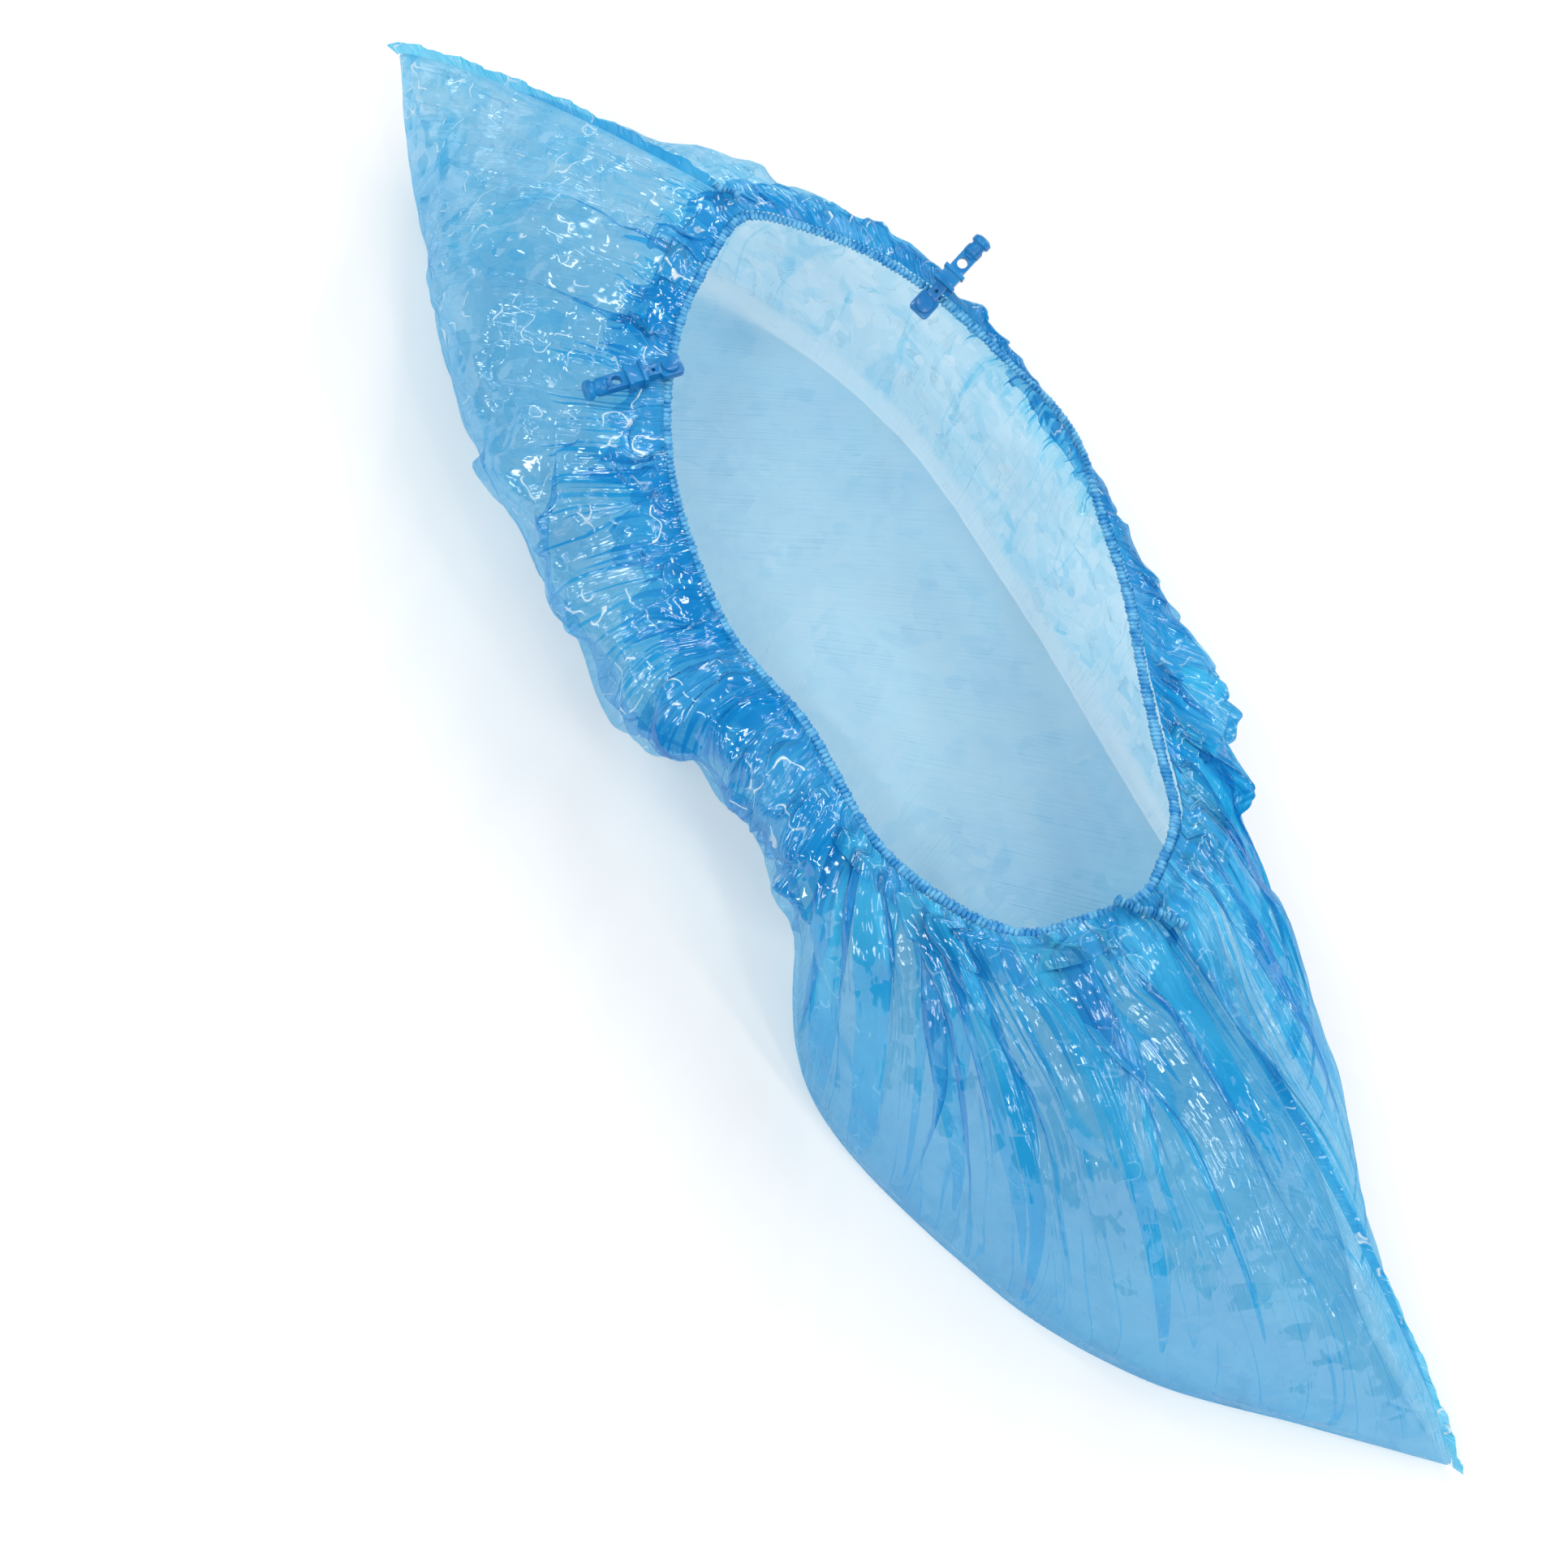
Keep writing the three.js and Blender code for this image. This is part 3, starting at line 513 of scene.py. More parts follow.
def film_points(side):
    """Points of one panel, mouth to fold, and their places on the flat sheet."""
    grid = panel_grid(side)
    wall, deep = folded_wall(side, grid, FINE_SHARE)
    foot, fold = wall[:, -1], fold_point(grid["along"][:, 0]) - (0, 0, SHEET_OUT)
    shares = np.linspace(0, 1, SOLE_STEPS + 1)[1:]
    sole = foot[:, None] + (fold - foot)[:, None] * shares[None, :, None]
    width = np.linalg.norm(fold - foot, axis=-1)[:, None] * shares
    deep = np.concatenate([deep, deep[:, -1:] + width], 1)
    return np.concatenate([wall, sole], 1), flat_place(side, grid["along"], deep)


def grid_faces(columns, rows, flip, first=0):
    i, j = np.meshgrid(np.arange(columns - 1), np.arange(rows - 1), indexing="ij")
    a = first + i * rows + j
    quads = np.stack([a, a + 1, a + rows + 1, a + rows], -1).reshape(-1, 4)
    return quads[:, ::-1] if flip else quads


def piece(name, points_mm, faces, uv_mm=None, merge=0.0):
    """A mesh object at the origin from points in millimetres."""
    mesh = bpy.data.meshes.new(name)
    mesh.from_pydata((np.asarray(points_mm) * MM).tolist(), [], np.asarray(faces).tolist())
    if uv_mm is not None:
        corners = np.empty(len(mesh.loops), np.int32)
        mesh.loops.foreach_get("vertex_index", corners)
        layer = mesh.uv_layers.new(name="sheet")
        layer.data.foreach_set("uv", (np.asarray(uv_mm)[corners] * MM).astype(np.float32).ravel())
    if merge:
        bm = bmesh.new()
        bm.from_mesh(mesh)
        bmesh.ops.remove_doubles(bm, verts=bm.verts, dist=merge * MM)
        bm.to_mesh(mesh)
        bm.free()
    mesh.polygons.foreach_set("use_smooth", np.ones(len(mesh.polygons), bool))
    mesh.update()
    made = bpy.data.objects.new(name, mesh)
    bpy.context.scene.collection.objects.link(made)
    return made


def two_panels(name, grid_of):
    """One piece from both sides' grids of points, joined where the sides meet."""
    points, uv, faces = [], [], []
    for side in PANELS:
        grid_points, flat = grid_of(side)
        faces.append(grid_faces(*grid_points.shape[:2], side == "left", sum(map(len, points))))
        points.append(grid_points.reshape(-1, 3))
        uv.append(flat.reshape(-1, 2))
    return piece(name, np.concatenate(points), np.concatenate(faces), np.concatenate(uv), merge=0.01)


film = two_panels("film", film_points)
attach(film, "root")
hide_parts("film_bag")
film_cm2 = sum(face.area for face in film.data.polygons) * 1e4
print("film:", 2 * len(film.data.polygons), "triangles,", round(film_cm2), "square centimetres")


# %% [markdown]
# ## The doubled hem
# Below the mouth the film is folded over and welded, so a band up to 12 mm deep has a second layer. It
# follows every pleat of the film just outside it, which makes the gathers there look darker.

# %% Hem band
BAND_DEEP, BAND_OUT = 12.0, 0.4
BAND_STEPS, BAND_ROWS = 1290, 15


def band_points(side):
    """A fine grid from the rim to the band's edge, just outside the film."""
    search = measured(side, *np.meshgrid(
        np.linspace(0, 1, BAND_STEPS + 1), np.linspace(0, 0.3, 40), indexing="ij"
    ))
    lowest = BAND_DEEP * (0.5 + 0.5 * patches(search["at"][:, 0], 16, 61))
    rows = lowest[:, None] * np.linspace(0, 1, BAND_ROWS)
    columns = zip(rows, search["deep"], search["down"])
    down = np.array([np.interp(places, deep, low) for places, deep, low in columns])
    grid = measured(side, np.repeat(search["along"][:, :1], BAND_ROWS, 1), down)
    wall, deep = folded_wall(side, grid, 1.0)
    out = unit(np.cross(np.gradient(wall, axis=0), np.gradient(wall, axis=1)))
    ends = smooth(grid["along"][:, 0] / 0.01) * smooth((1 - grid["along"][:, 0]) / 0.01)
    out = out * SIGN[side] * BAND_OUT * ends[:, None, None]
    return wall + out, flat_place(side, grid["along"], deep)


hem_band = two_panels("hem_band", band_points)
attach(hem_band, "root")
print("hem band:", 2 * len(hem_band.data.polygons), "triangles")


# %% [markdown]
# ## The welds
# Each end of the bag is closed by a hot bar that melts both panels together along a line and leaves a
# narrow flap of doubled film outside it. The flap follows the seam and ripples a little, because the
# weld shrinks the film under it.

# %% Weld flaps
FLAP_WIDE = {0: 2.8, 1: 3.4}
FLAP_STEPS, FLAP_ROWS = 260, 5


def flap(end):
    down = np.linspace(0.035, 1, FLAP_STEPS)
    at = plain_wall("right", np.full_like(down, end), down)
    way = weld_way(float(end), down)
    path = np.concatenate([[0], np.cumsum(np.linalg.norm(np.diff(at, axis=0), axis=-1))])
    side = unit(np.cross(np.gradient(at, axis=0), way))
    ripple = np.sin(path * 0.9) * 0.35 + np.sin(path * 0.37 + 2) * 0.5 + np.sin(path * 2.3) * 0.12
    grow = smooth(np.linspace(0, 1, FLAP_STEPS) / 0.08) * FLAP_WIDE[end]
    shares = np.linspace(0, 1, FLAP_ROWS)
    points = at[:, None] + way[:, None] * (SHEET_OUT + grow[:, None] * shares)[..., None]
    points = points + side[:, None] * (ripple[:, None] * shares**1.5)[..., None]
    points[..., 2] = np.maximum(points[..., 2], -SHEET_OUT)
    uv = np.stack([np.repeat(path[:, None], FLAP_ROWS, 1), grow[:, None] * shares], -1)
    return points, uv


for end, name in ((0, "toe_weld"), (1, "heel_weld")):
    points, uv = flap(end)
    made = piece(name, points.reshape(-1, 3), grid_faces(*points.shape[:2], False), uv.reshape(-1, 2))
    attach(made, "root")
    print(name, "is", round(float(uv[-1, 0, 0])), "mm long")


# %% [markdown]
# ## The rolled rim
# At the mouth the film is rolled round an elastic thread. Let go, the elastic shrinks and crowds the roll
# into a cord of fine ribs. A row of small flattened beads along the mouth, closer together than they
# are long, makes such a cord. Repeating a bead along a path is work for Geometry Nodes: the path carries
# the direction "rim_up" at each point, and every bead turns to it.

# %% A small helper for node trees
class Tree:
    """Makes nodes in a tree: a type, its settings, then its sockets by name or number."""

    def __init__(self, nodes):
        self.tree = nodes

    def node(self, kind, settings=None, inputs=None):
        made = self.tree.nodes.new(kind)
        for name, value in (settings or {}).items():
            setattr(made, name, value)
        for key, value in (inputs or {}).items():
            if isinstance(value, bpy.types.NodeSocket):
                self.tree.links.new(value, made.inputs[key])
            else:
                made.inputs[key].default_value = value
        return made


# %% Rib tree
def rib_tree():
    """Geometry Nodes: beads along the edges of a mesh path, turned to its rim_up attribute."""
    group = bpy.data.node_groups.new("ribs along a path", "GeometryNodeTree")
    group.is_modifier = True
    face = group.interface
    face.new_socket("Geometry", in_out="INPUT", socket_type="NodeSocketGeometry")
    for name, value in (("Pitch", 0.0013), ("Length", 0.0016), ("Width", 0.0022), ("Height", 0.003)):
        face.new_socket(name, in_out="INPUT", socket_type="NodeSocketFloat").default_value = value
    face.new_socket("Luck", in_out="INPUT", socket_type="NodeSocketFloat").default_value = 0.12
    face.new_socket("Finish", in_out="INPUT", socket_type="NodeSocketMaterial")
    face.new_socket("Geometry", in_out="OUTPUT", socket_type="NodeSocketGeometry")
    t = Tree(group)
    given = t.node("NodeGroupInput").outputs
    curve = t.node("GeometryNodeMeshToCurve", None, {"Mesh": given["Geometry"]})
    even = t.node(
        "GeometryNodeResampleCurve",
        {"mode": "LENGTH"},
        {"Curve": curve.outputs["Curve"], "Length": given["Pitch"]},
    )
    stand = t.node("GeometryNodeInputNamedAttribute", {"data_type": "FLOAT_VECTOR"}, {"Name": "rim_up"})
    ahead = t.node("GeometryNodeInputTangent")
    turn = t.node(
        "FunctionNodeAxesToRotation",
        {"primary_axis": "Z", "secondary_axis": "X"},
        {0: stand.outputs["Attribute"], 1: ahead.outputs["Tangent"]},
    )
    bead = t.node("GeometryNodeMeshUVSphere", None, {"Segments": 10, "Rings": 6, "Radius": 0.5})
    size = t.node(
        "ShaderNodeCombineXYZ", None, {"X": given["Length"], "Y": given["Width"], "Z": given["Height"]}
    )
    least = t.node("ShaderNodeMath", {"operation": "SUBTRACT"}, {0: 1.0, 1: given["Luck"]})
    most = t.node("ShaderNodeMath", {"operation": "ADD"}, {0: 1.0, 1: given["Luck"]})
    luck = t.node(
        "FunctionNodeRandomValue",
        {"data_type": "FLOAT"},
        {2: least.outputs[0], 3: most.outputs[0], "Seed": 7},
    )
    scale = t.node(
        "ShaderNodeVectorMath", {"operation": "SCALE"}, {0: size.outputs[0], "Scale": luck.outputs[1]}
    )
    beads = t.node(
        "GeometryNodeInstanceOnPoints",
        None,
        {
            "Points": even.outputs["Curve"],
            "Instance": bead.outputs["Mesh"],
            "Rotation": turn.outputs[0],
            "Scale": scale.outputs[0],
        },
    )
    real = t.node("GeometryNodeRealizeInstances", None, {0: beads.outputs[0]})
    soft = t.node("GeometryNodeSetShadeSmooth", None, {"Geometry": real.outputs[0]})
    done = t.node(
        "GeometryNodeSetMaterial", None, {"Geometry": soft.outputs[0], "Material": given["Finish"]}
    )
    t.node("NodeGroupOutput", None, {"Geometry": done.outputs[0]})
    return group


RIBS = rib_tree()


def ribbed(name, path_mm, up, finish, closed=False, luck=0.12, **sizes_mm):
    """A cord of ribs along a path, made a plain mesh. luck is how far the ribs' sizes differ."""
    count = len(path_mm)
    edges = [(i, i + 1) for i in range(count - 1)] + ([(count - 1, 0)] if closed else [])
    mesh = bpy.data.meshes.new(name)
    mesh.from_pydata((np.asarray(path_mm) * MM).tolist(), edges, [])
    mesh.attributes.new("rim_up", "FLOAT_VECTOR", "POINT").data.foreach_set(
        "vector", np.asarray(up, np.float32).ravel()
    )
    carrier = bpy.data.objects.new(name, mesh)
    bpy.context.scene.collection.objects.link(carrier)
    modifier = carrier.modifiers.new("ribs", "NODES")
    modifier.node_group = RIBS
    sockets = {item.name: item.identifier for item in RIBS.interface.items_tree if item.in_out == "INPUT"}
    for key, value in sizes_mm.items():
        modifier[sockets[key.capitalize()]] = value * MM
    modifier[sockets["Luck"]] = luck
    modifier[sockets["Finish"]] = finish
    graph = bpy.context.evaluated_depsgraph_get()
    plain = bpy.data.meshes.new_from_object(carrier.evaluated_get(graph))
    carrier.modifiers.clear()
    carrier.data = plain
    return carrier


print("rib tree:", len(RIBS.nodes), "nodes")


# %% [markdown]
# ## Finishes
# Thin polyethylene does three things at once: most light goes straight through with a faint blue tint, some
# scatters in the haze of the film, and the smooth skin mirrors lamps. So the finish mixes a tinted
# Transparent shader with a little body colour and lays a gloss on top that grows towards grazing
# angles. Where the film lies several layers deep the tint multiplies, and the blue deepens by itself.
# The maths of all this is written with a small class, so that sums of masks read as sums.

# %% Maths on sockets
class Field:
    """A number that changes over a surface. Sums and products of fields become Math nodes."""

    def __init__(self, finish, socket):
        self.finish = finish
        self.socket = socket

    def maths(self, operation, *values, swap=False):
        values = [self.socket, *(v.socket if isinstance(v, Field) else v for v in values)]
        if swap:
            values.reverse()
        made = self.finish.node("ShaderNodeMath", {"operation": operation}, dict(enumerate(values)))
        return Field(self.finish, made.outputs[0])

    def __add__(self, other):
        return self.maths("ADD", other)

    __radd__ = __add__

    def __mul__(self, other):
        return self.maths("MULTIPLY", other)

    __rmul__ = __mul__

    def __sub__(self, other):
        return self.maths("SUBTRACT", other)

    def __rsub__(self, other):
        return self.maths("SUBTRACT", other, swap=True)

    def __pow__(self, other):
        return self.maths("POWER", other)

    def __abs__(self):
        return self.maths("ABSOLUTE")

    def between(self, low, high):
        """0 below low and 1 above high, with a soft step in between."""
        made = self.finish.node(
            "ShaderNodeMapRange",
            {"interpolation_type": "SMOOTHSTEP"},
            {"Value": self.socket, "From Min": low, "From Max": high},
        )
        return Field(self.finish, made.outputs[0])


class Finish(Tree):
    """A material made of nodes."""

    def __init__(self, name):
        self.material = bpy.data.materials.new(name)
        self.material.use_nodes = True
        super().__init__(self.material.node_tree)
        self.tree.nodes.clear()
        self.where = self.node("ShaderNodeTexCoord")

    def noise(self, scale, detail=2.0, rough=0.5, stretch=None, on="Object"):
        """Noise over the surface, stretched by a factor on each axis where asked."""
        at = self.where.outputs[on]
        if stretch:
            at = self.node("ShaderNodeMapping", None, {"Vector": at, "Scale": stretch}).outputs[0]
        made = self.node(
            "ShaderNodeTexNoise", None, {"Vector": at, "Scale": scale, "Detail": detail, "Roughness": rough}
        )
        return Field(self, made.outputs[0])

    def creases(self, *args, **kwargs):
        """Sharp lines where noise crosses its middle, 1 on the line."""
        return 1 - abs(self.noise(*args, **kwargs) * 2 - 1)

    def bump(self, height, distance_mm, over=None):
        sockets = {"Height": height.socket, "Distance": distance_mm * MM}
        if over:
            sockets["Normal"] = over
        return self.node("ShaderNodeBump", None, sockets).outputs[0]

    def tint(self, share, first, second):
        """A colour between two, by a field."""
        made = self.node(
            "ShaderNodeMix", {"data_type": "RGBA"}, {0: share.socket, 6: (*first, 1), 7: (*second, 1)}
        )
        return made.outputs[2]

    def vector(self, operation, *values, out="Vector"):
        made = self.node("ShaderNodeVectorMath", {"operation": operation}, dict(enumerate(values)))
        return made.outputs[out]

    def shader(self, kind, **sockets):
        given = {}
        for name, value in sockets.items():
            given[name.replace("_", " ")] = value.socket if isinstance(value, Field) else value
        return self.node(kind, None, given).outputs[0]

    def mixed(self, share, first, second):
        share = share.socket if isinstance(share, Field) else share
        return self.node("ShaderNodeMixShader", None, {0: share, 1: first, 2: second}).outputs[0]

    def done(self, shader):
        self.node("ShaderNodeOutputMaterial", None, {"Surface": shader})
        return self.material


# %% [markdown]
# ## The film's finish
# On the real cover the film is pale where one layer lies flat, mid blue where it is folded in three and
# deep blue in the imported gathers under the rim, so three tints are mixed by masks. The masks are drawn on
# the flat sheet, whose UV runs along the hem and down the wall, because folds start at the hem: long
# wedge-shaped bands in front, short ones behind, and thin lines that run down. The crumpled look comes from
# a stirred honeycomb whose cells each lean their own way, as small flat facets do. Each cell is also painted
# a little darker or paler by chance, a painted shade for light on the facets and partly for overlapping film.
# Short white strokes on creases are painted highlights that stand for the sharpest glints, mostly behind,
# where the film is slack. Behind, the fold tint is also weaker, which paints the slack heel paler as if more
# light reached it. The sole is pressed flat and scuffed by the floor, so it is calmer and less glossy.

# %% Film finish
FILM_TINT = (0.80, 0.925, 0.985, 1)
FOLD_TINT = (0.09, 0.65, 0.93, 1)
PACKED_TINT = (0.015, 0.47, 0.85, 1)
FILM_BODY = ((0.01, 0.39, 0.78), (0.08, 0.58, 0.92))
GLINT = (0.80, 0.93, 1.0, 1)
GLOSS_LEAST = 0.065
CREASE_MM = 0.5
# Where masks begin and end, in metres: height over the floor, then distance from the toe weld, then depth.
SOLE_ENDS_M = (0.003, 0.007)
BEHIND_M, LONG_BANDS_END_M, AT_HEEL_M = (0.17, 0.22), (0.21, 0.16), (0.27, 0.34)
CROWDED_M = (0.018, 0.003)


def facets(f, scale, tilt):
    """For each small facet of a stirred honeycomb, a chance colour and the same as a lean, a vector."""
    at = f.where.outputs["Object"]
    stir = f.node("ShaderNodeTexNoise", None, {"Vector": at, "Scale": scale / 2, "Detail": 0.0})
    stirred = f.vector("MULTIPLY_ADD", stir.outputs["Color"], (0.9 / scale,) * 3, at)
    cells = f.node("ShaderNodeTexVoronoi", None, {"Vector": stirred, "Scale": scale}).outputs["Color"]
    return cells, f.vector("MULTIPLY_ADD", cells, (2 * tilt,) * 3, (-tilt,) * 3)


def place(f, source, axis):
    """One coordinate of the object or of the flat sheet, in metres."""
    return Field(f, f.node("ShaderNodeSeparateXYZ", None, {0: f.where.outputs[source]}).outputs[axis])


def bands(f, stretch, start, fade):
    """Film folded in three: crisp bands that begin wide at the mouth and end in a point further down."""
    return (f.noise(1, 0.0, stretch=stretch, on="UV") - place(f, "UV", "Y") * fade - start).between(0, 0.015)


def lines(f, stretch, low, high):
    """Thin lines on the flat sheet, from creases stretched along or down it."""
    return f.creases(1, 0.0, stretch=stretch, on="UV").between(low, high)


def layer_masks(f, haze):
    """Where the wall's film lies folded in three, and where it is packed deeper still, from 0 to 1."""
    heelward = abs(place(f, "UV", "X"))
    leftward = place(f, "UV", "X").between(0, -0.01)
    behind = heelward.between(*BEHIND_M)
    long_bands = bands(f, (110, 6, 1), 0.50, 1.6) * heelward.between(*LONG_BANDS_END_M)
    short_bands = bands(f, (280, 9, 1), 0.50, behind * 9 + 2.6) * (1 - behind * 0.7)
    heel_folds = lines(f, (40, 9, 1), 0.95, 0.975) * heelward.between(*AT_HEEL_M)
    down_lines = lines(f, (130, 12, 1), 0.96, 1.0) * haze.between(0.3, 0.5)
    crowded = place(f, "UV", "Y").between(*CROWDED_M)
    layers = crowded * 0.35 + long_bands * 0.95 + short_bands * 0.55
    layers = layers + heel_folds * 0.15 + down_lines * (0.6 - behind * 0.4)
    packed = bands(f, (800, 22, 1), 0.40, behind * (leftward * 12 + 9) + 7.5) * 0.85
    return behind, layers, packed


def clear_film(f, folds, packed):
    """What goes straight through: pale film, deeper blue in the folds and deepest where it is packed."""
    plain, folded_tint, packed_tint = (
        f.shader("ShaderNodeBsdfTransparent", Color=tint) for tint in (FILM_TINT, FOLD_TINT, PACKED_TINT)
    )
    return f.mixed(packed, f.mixed(folds, plain, folded_tint), packed_tint)


def film_finish(name, body_share, crimped=False):
    """See-through glossy film. crimped adds the fine cross ribs of a hot weld."""
    f = Finish(name)
    drawn = f.creases(1, 1.0, stretch=(420, 60, 1), on="UV")
    gathers = f.noise(1, 0.0, stretch=(1300, 40, 1), on="UV")
    ridges = f.creases(120, 1.0)
    wall = place(f, "Object", "Z").between(*SOLE_ENDS_M)
    height = ridges * 0.6 + drawn * 0.4 + gathers * 0.5
    if crimped:
        height = height + f.noise(1, 0.0, stretch=(1500, 150, 1), on="UV") * 0.6
    plain = f.node("ShaderNodeNewGeometry").outputs["Normal"]
    broad, broad_lean = facets(f, 110, 0.21)
    small, small_lean = facets(f, 290, 0.15)
    leaning = f.vector("ADD", plain, f.vector("ADD", broad_lean, small_lean))
    normal = f.bump(height, CREASE_MM, over=f.vector("NORMALIZE", leaning))
    view = f.node("ShaderNodeLayerWeight", None, {"Blend": 0.5, "Normal": normal})
    facing = Field(f, view.outputs["Facing"])
    haze = f.noise(50, 1.0)
    # painted shade: each facet cell is a little darker or paler by chance, standing in for light on crumpled
    # facets and partly for film overlapping there
    both = f.vector("MULTIPLY", broad, small)
    shade = Field(f, f.vector("DOT_PRODUCT", both, (0.14,) * 3, out="Value"))
    # painted highlight: white strokes on creases in some facet cells, mixed into the body colour, stand for
    # glints
    glint_cells = Field(f, f.vector("DOT_PRODUCT", small, (0.55, 0.45, 0), out="Value")).between(0.55, 0.61)
    glints = glint_cells * ridges.between(0.955, 1.0) * haze.between(0.36, 0.5) * wall
    folds, packed = facing * 0.45 + shade + 0.6, 0
    if not crimped:
        behind, layers, packed = layer_masks(f, haze)
        glints = glints * (behind * 0.75 + 0.25)
        shade = shade * (wall * (behind * 0.6 + 0.7) + 0.3)
        # painted light: behind, the fold tint from the view angle is weaker, so the slack heel's film is
        # painted paler, standing in for more light reaching it
        folds = facing * (0.45 - behind * 0.22) + shade + layers * wall
    whiter = {0: glints.socket, 6: f.tint(haze.between(0.35, 0.65), *FILM_BODY), 7: GLINT}
    body = f.shader(
        "ShaderNodeBsdfPrincipled",
        Base_Color=f.node("ShaderNodeMix", {"data_type": "RGBA"}, whiter).outputs[2],
        Roughness=0.45,
        Specular_IOR_Level=0.2,
        Normal=normal,
    )
    skin = f.shader(
        "ShaderNodeBsdfGlossy",
        Color=(1, 1, 1, 1),
        Roughness=0.45 - wall * 0.4 + haze.between(0.3, 0.7) * 0.1,
        Normal=normal,
    )
    hazy = body_share + (folds + packed) * 0.2 + glints * 0.5
    inside = f.mixed(hazy, clear_film(f, folds, packed), body)
    return f.done(f.mixed(GLOSS_LEAST + facing**4 * 0.12, inside, skin))


film.data.materials.append(film_finish("film", 0.08))
hem_band.data.materials.append(film_finish("film hem", 0.10))
for name in ("toe_weld", "heel_weld"):
    bpy.data.objects[name].data.materials.append(film_finish("film " + name, 0.25, crimped=True))
print("film tint:", FILM_TINT[:3])


# %% Rim and clip finishes
def rib_finish():
    """Film packed into a cord: many layers, so little light gets through."""
    f = Finish("rim ribs")
    patch = f.noise(420, 2.0)
    normal = f.bump(f.noise(900, 2.0), 0.12)
    body = f.shader(
        "ShaderNodeBsdfPrincipled",
        Base_Color=f.tint(patch.between(0.35, 0.65), (0.015, 0.28, 0.68), (0.16, 0.56, 0.90)),
        Roughness=0.3 + patch * 0.2,
        Specular_IOR_Level=0.7,
        Normal=normal,
    )
    clear = f.shader("ShaderNodeBsdfTransparent", Color=(0.45, 0.75, 0.95, 1))
    return f.done(f.mixed(0.85, clear, body))


def clip_finish():
    """Moulded polypropylene with a faint flow grain."""
    f = Finish("moulded clip")
    grain = f.noise(1400, 2.0)
    flow = f.noise(130, 2.0)
    body = f.shader(
        "ShaderNodeBsdfPrincipled",
        Base_Color=f.tint(flow.between(0.35, 0.65), (0.002, 0.165, 0.47), (0.006, 0.25, 0.60)),
        Roughness=0.28 + flow * 0.16,
        Coat_Weight=0.25,
        Normal=f.bump(grain, 0.03),
    )
    return f.done(body)


RIB_FINISH, CLIP_FINISH = rib_finish(), clip_finish()
print("finishes:", [material.name for material in bpy.data.materials])


# %% [markdown]
# ## Laying the rim
# The rim's middle line stands just above the film's edge, leaning the way the film leans. It is worked out
# at the same stations as the solid ring and then drawn finer.

# %% Rim
RIM_RIBS, RIM_CLEAR, RIM_HIGH = 52, 0.95, 3.0


def rim_path():
    """Middle line of the rim and its way up, round the right side to the heel and back on the left."""
    walk = [("right", i / RIM_RIBS) for i in range(RIM_RIBS)]
    walk += [("left", i / RIM_RIBS) for i in range(RIM_RIBS, 0, -1)]
    edge, rise, out = [], [], []
    for side, along in walk:
        place = np.array([along]), np.array([0.0])
        below = np.array([along]), np.array([0.03])
        edge.append(plain_wall(side, *place)[0])
        lower = plain_wall(side, *below)[0] + ways(side, *below)[0][0] * relief(side, *below)
        rise.append(unit(edge[-1] - lower))
        out.append(ways(side, np.array([along]), np.array([0.01]))[0][0])
    edge, rise, out = (np.array(v) for v in (edge, rise, out))
    rise, out = (unit(sum(np.roll(v, k, 0) for k in range(-2, 3))) for v in (rise, out))
    ahead = unit(np.roll(edge, -1, 0) - np.roll(edge, 1, 0))
    out = unit(out - ahead * (out * ahead).sum(1, keepdims=True))
    rise = rise - ahead * (rise * ahead).sum(1, keepdims=True)
    rise = unit(rise - out * (rise * out).sum(1, keepdims=True))
    return edge + out * WALL / 2 + rise * (RIM_CLEAR + RIM_HIGH / 2), rise


def finer(values, times, closed=True):
    """Points in between, on a smooth curve through the given ones."""
    count = len(values)
    t = np.arange(count * times if closed else (count - 1) * times + 1) / times
    i = np.floor(t).astype(int)
    s = (t - i)[:, None]
    pick = (lambda k: values[k % count]) if closed else (lambda k: values[np.clip(k, 0, count - 1)])
    a, b, c, d = pick(i - 1), pick(i), pick(i + 1), pick(i + 2)
    return 0.5 * (2 * b + (c - a) * s + (2 * a - 5 * b + 4 * c - d) * s**2 + (3 * b - a - 3 * c + d) * s**3)


middle, rise = rim_path()
path, path_up = finer(middle, 8), unit(finer(rise, 8))
rim = ribbed("rim", path, path_up, RIB_FINISH, closed=True, pitch=1.15, length=1.4, width=1.8, height=2.8)
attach(rim, "root")
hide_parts("elastic_hem")
print("rim:", round(float(np.linalg.norm(np.diff(path, axis=0), axis=1).sum())), "mm round,",
      len(rim.data.polygons), "faces")


# %% [markdown]
# ## Tabs at the welds
# Where the two halves of the mouth are welded together, the end of the rolled rim is left over as a small
# ribbed tab with a skirt of film under it. The front one leans out over the toe, and the rear one is short.

# %% Tabs
rear_low, rear_high = (np.array(corner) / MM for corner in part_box("rear_tab"))


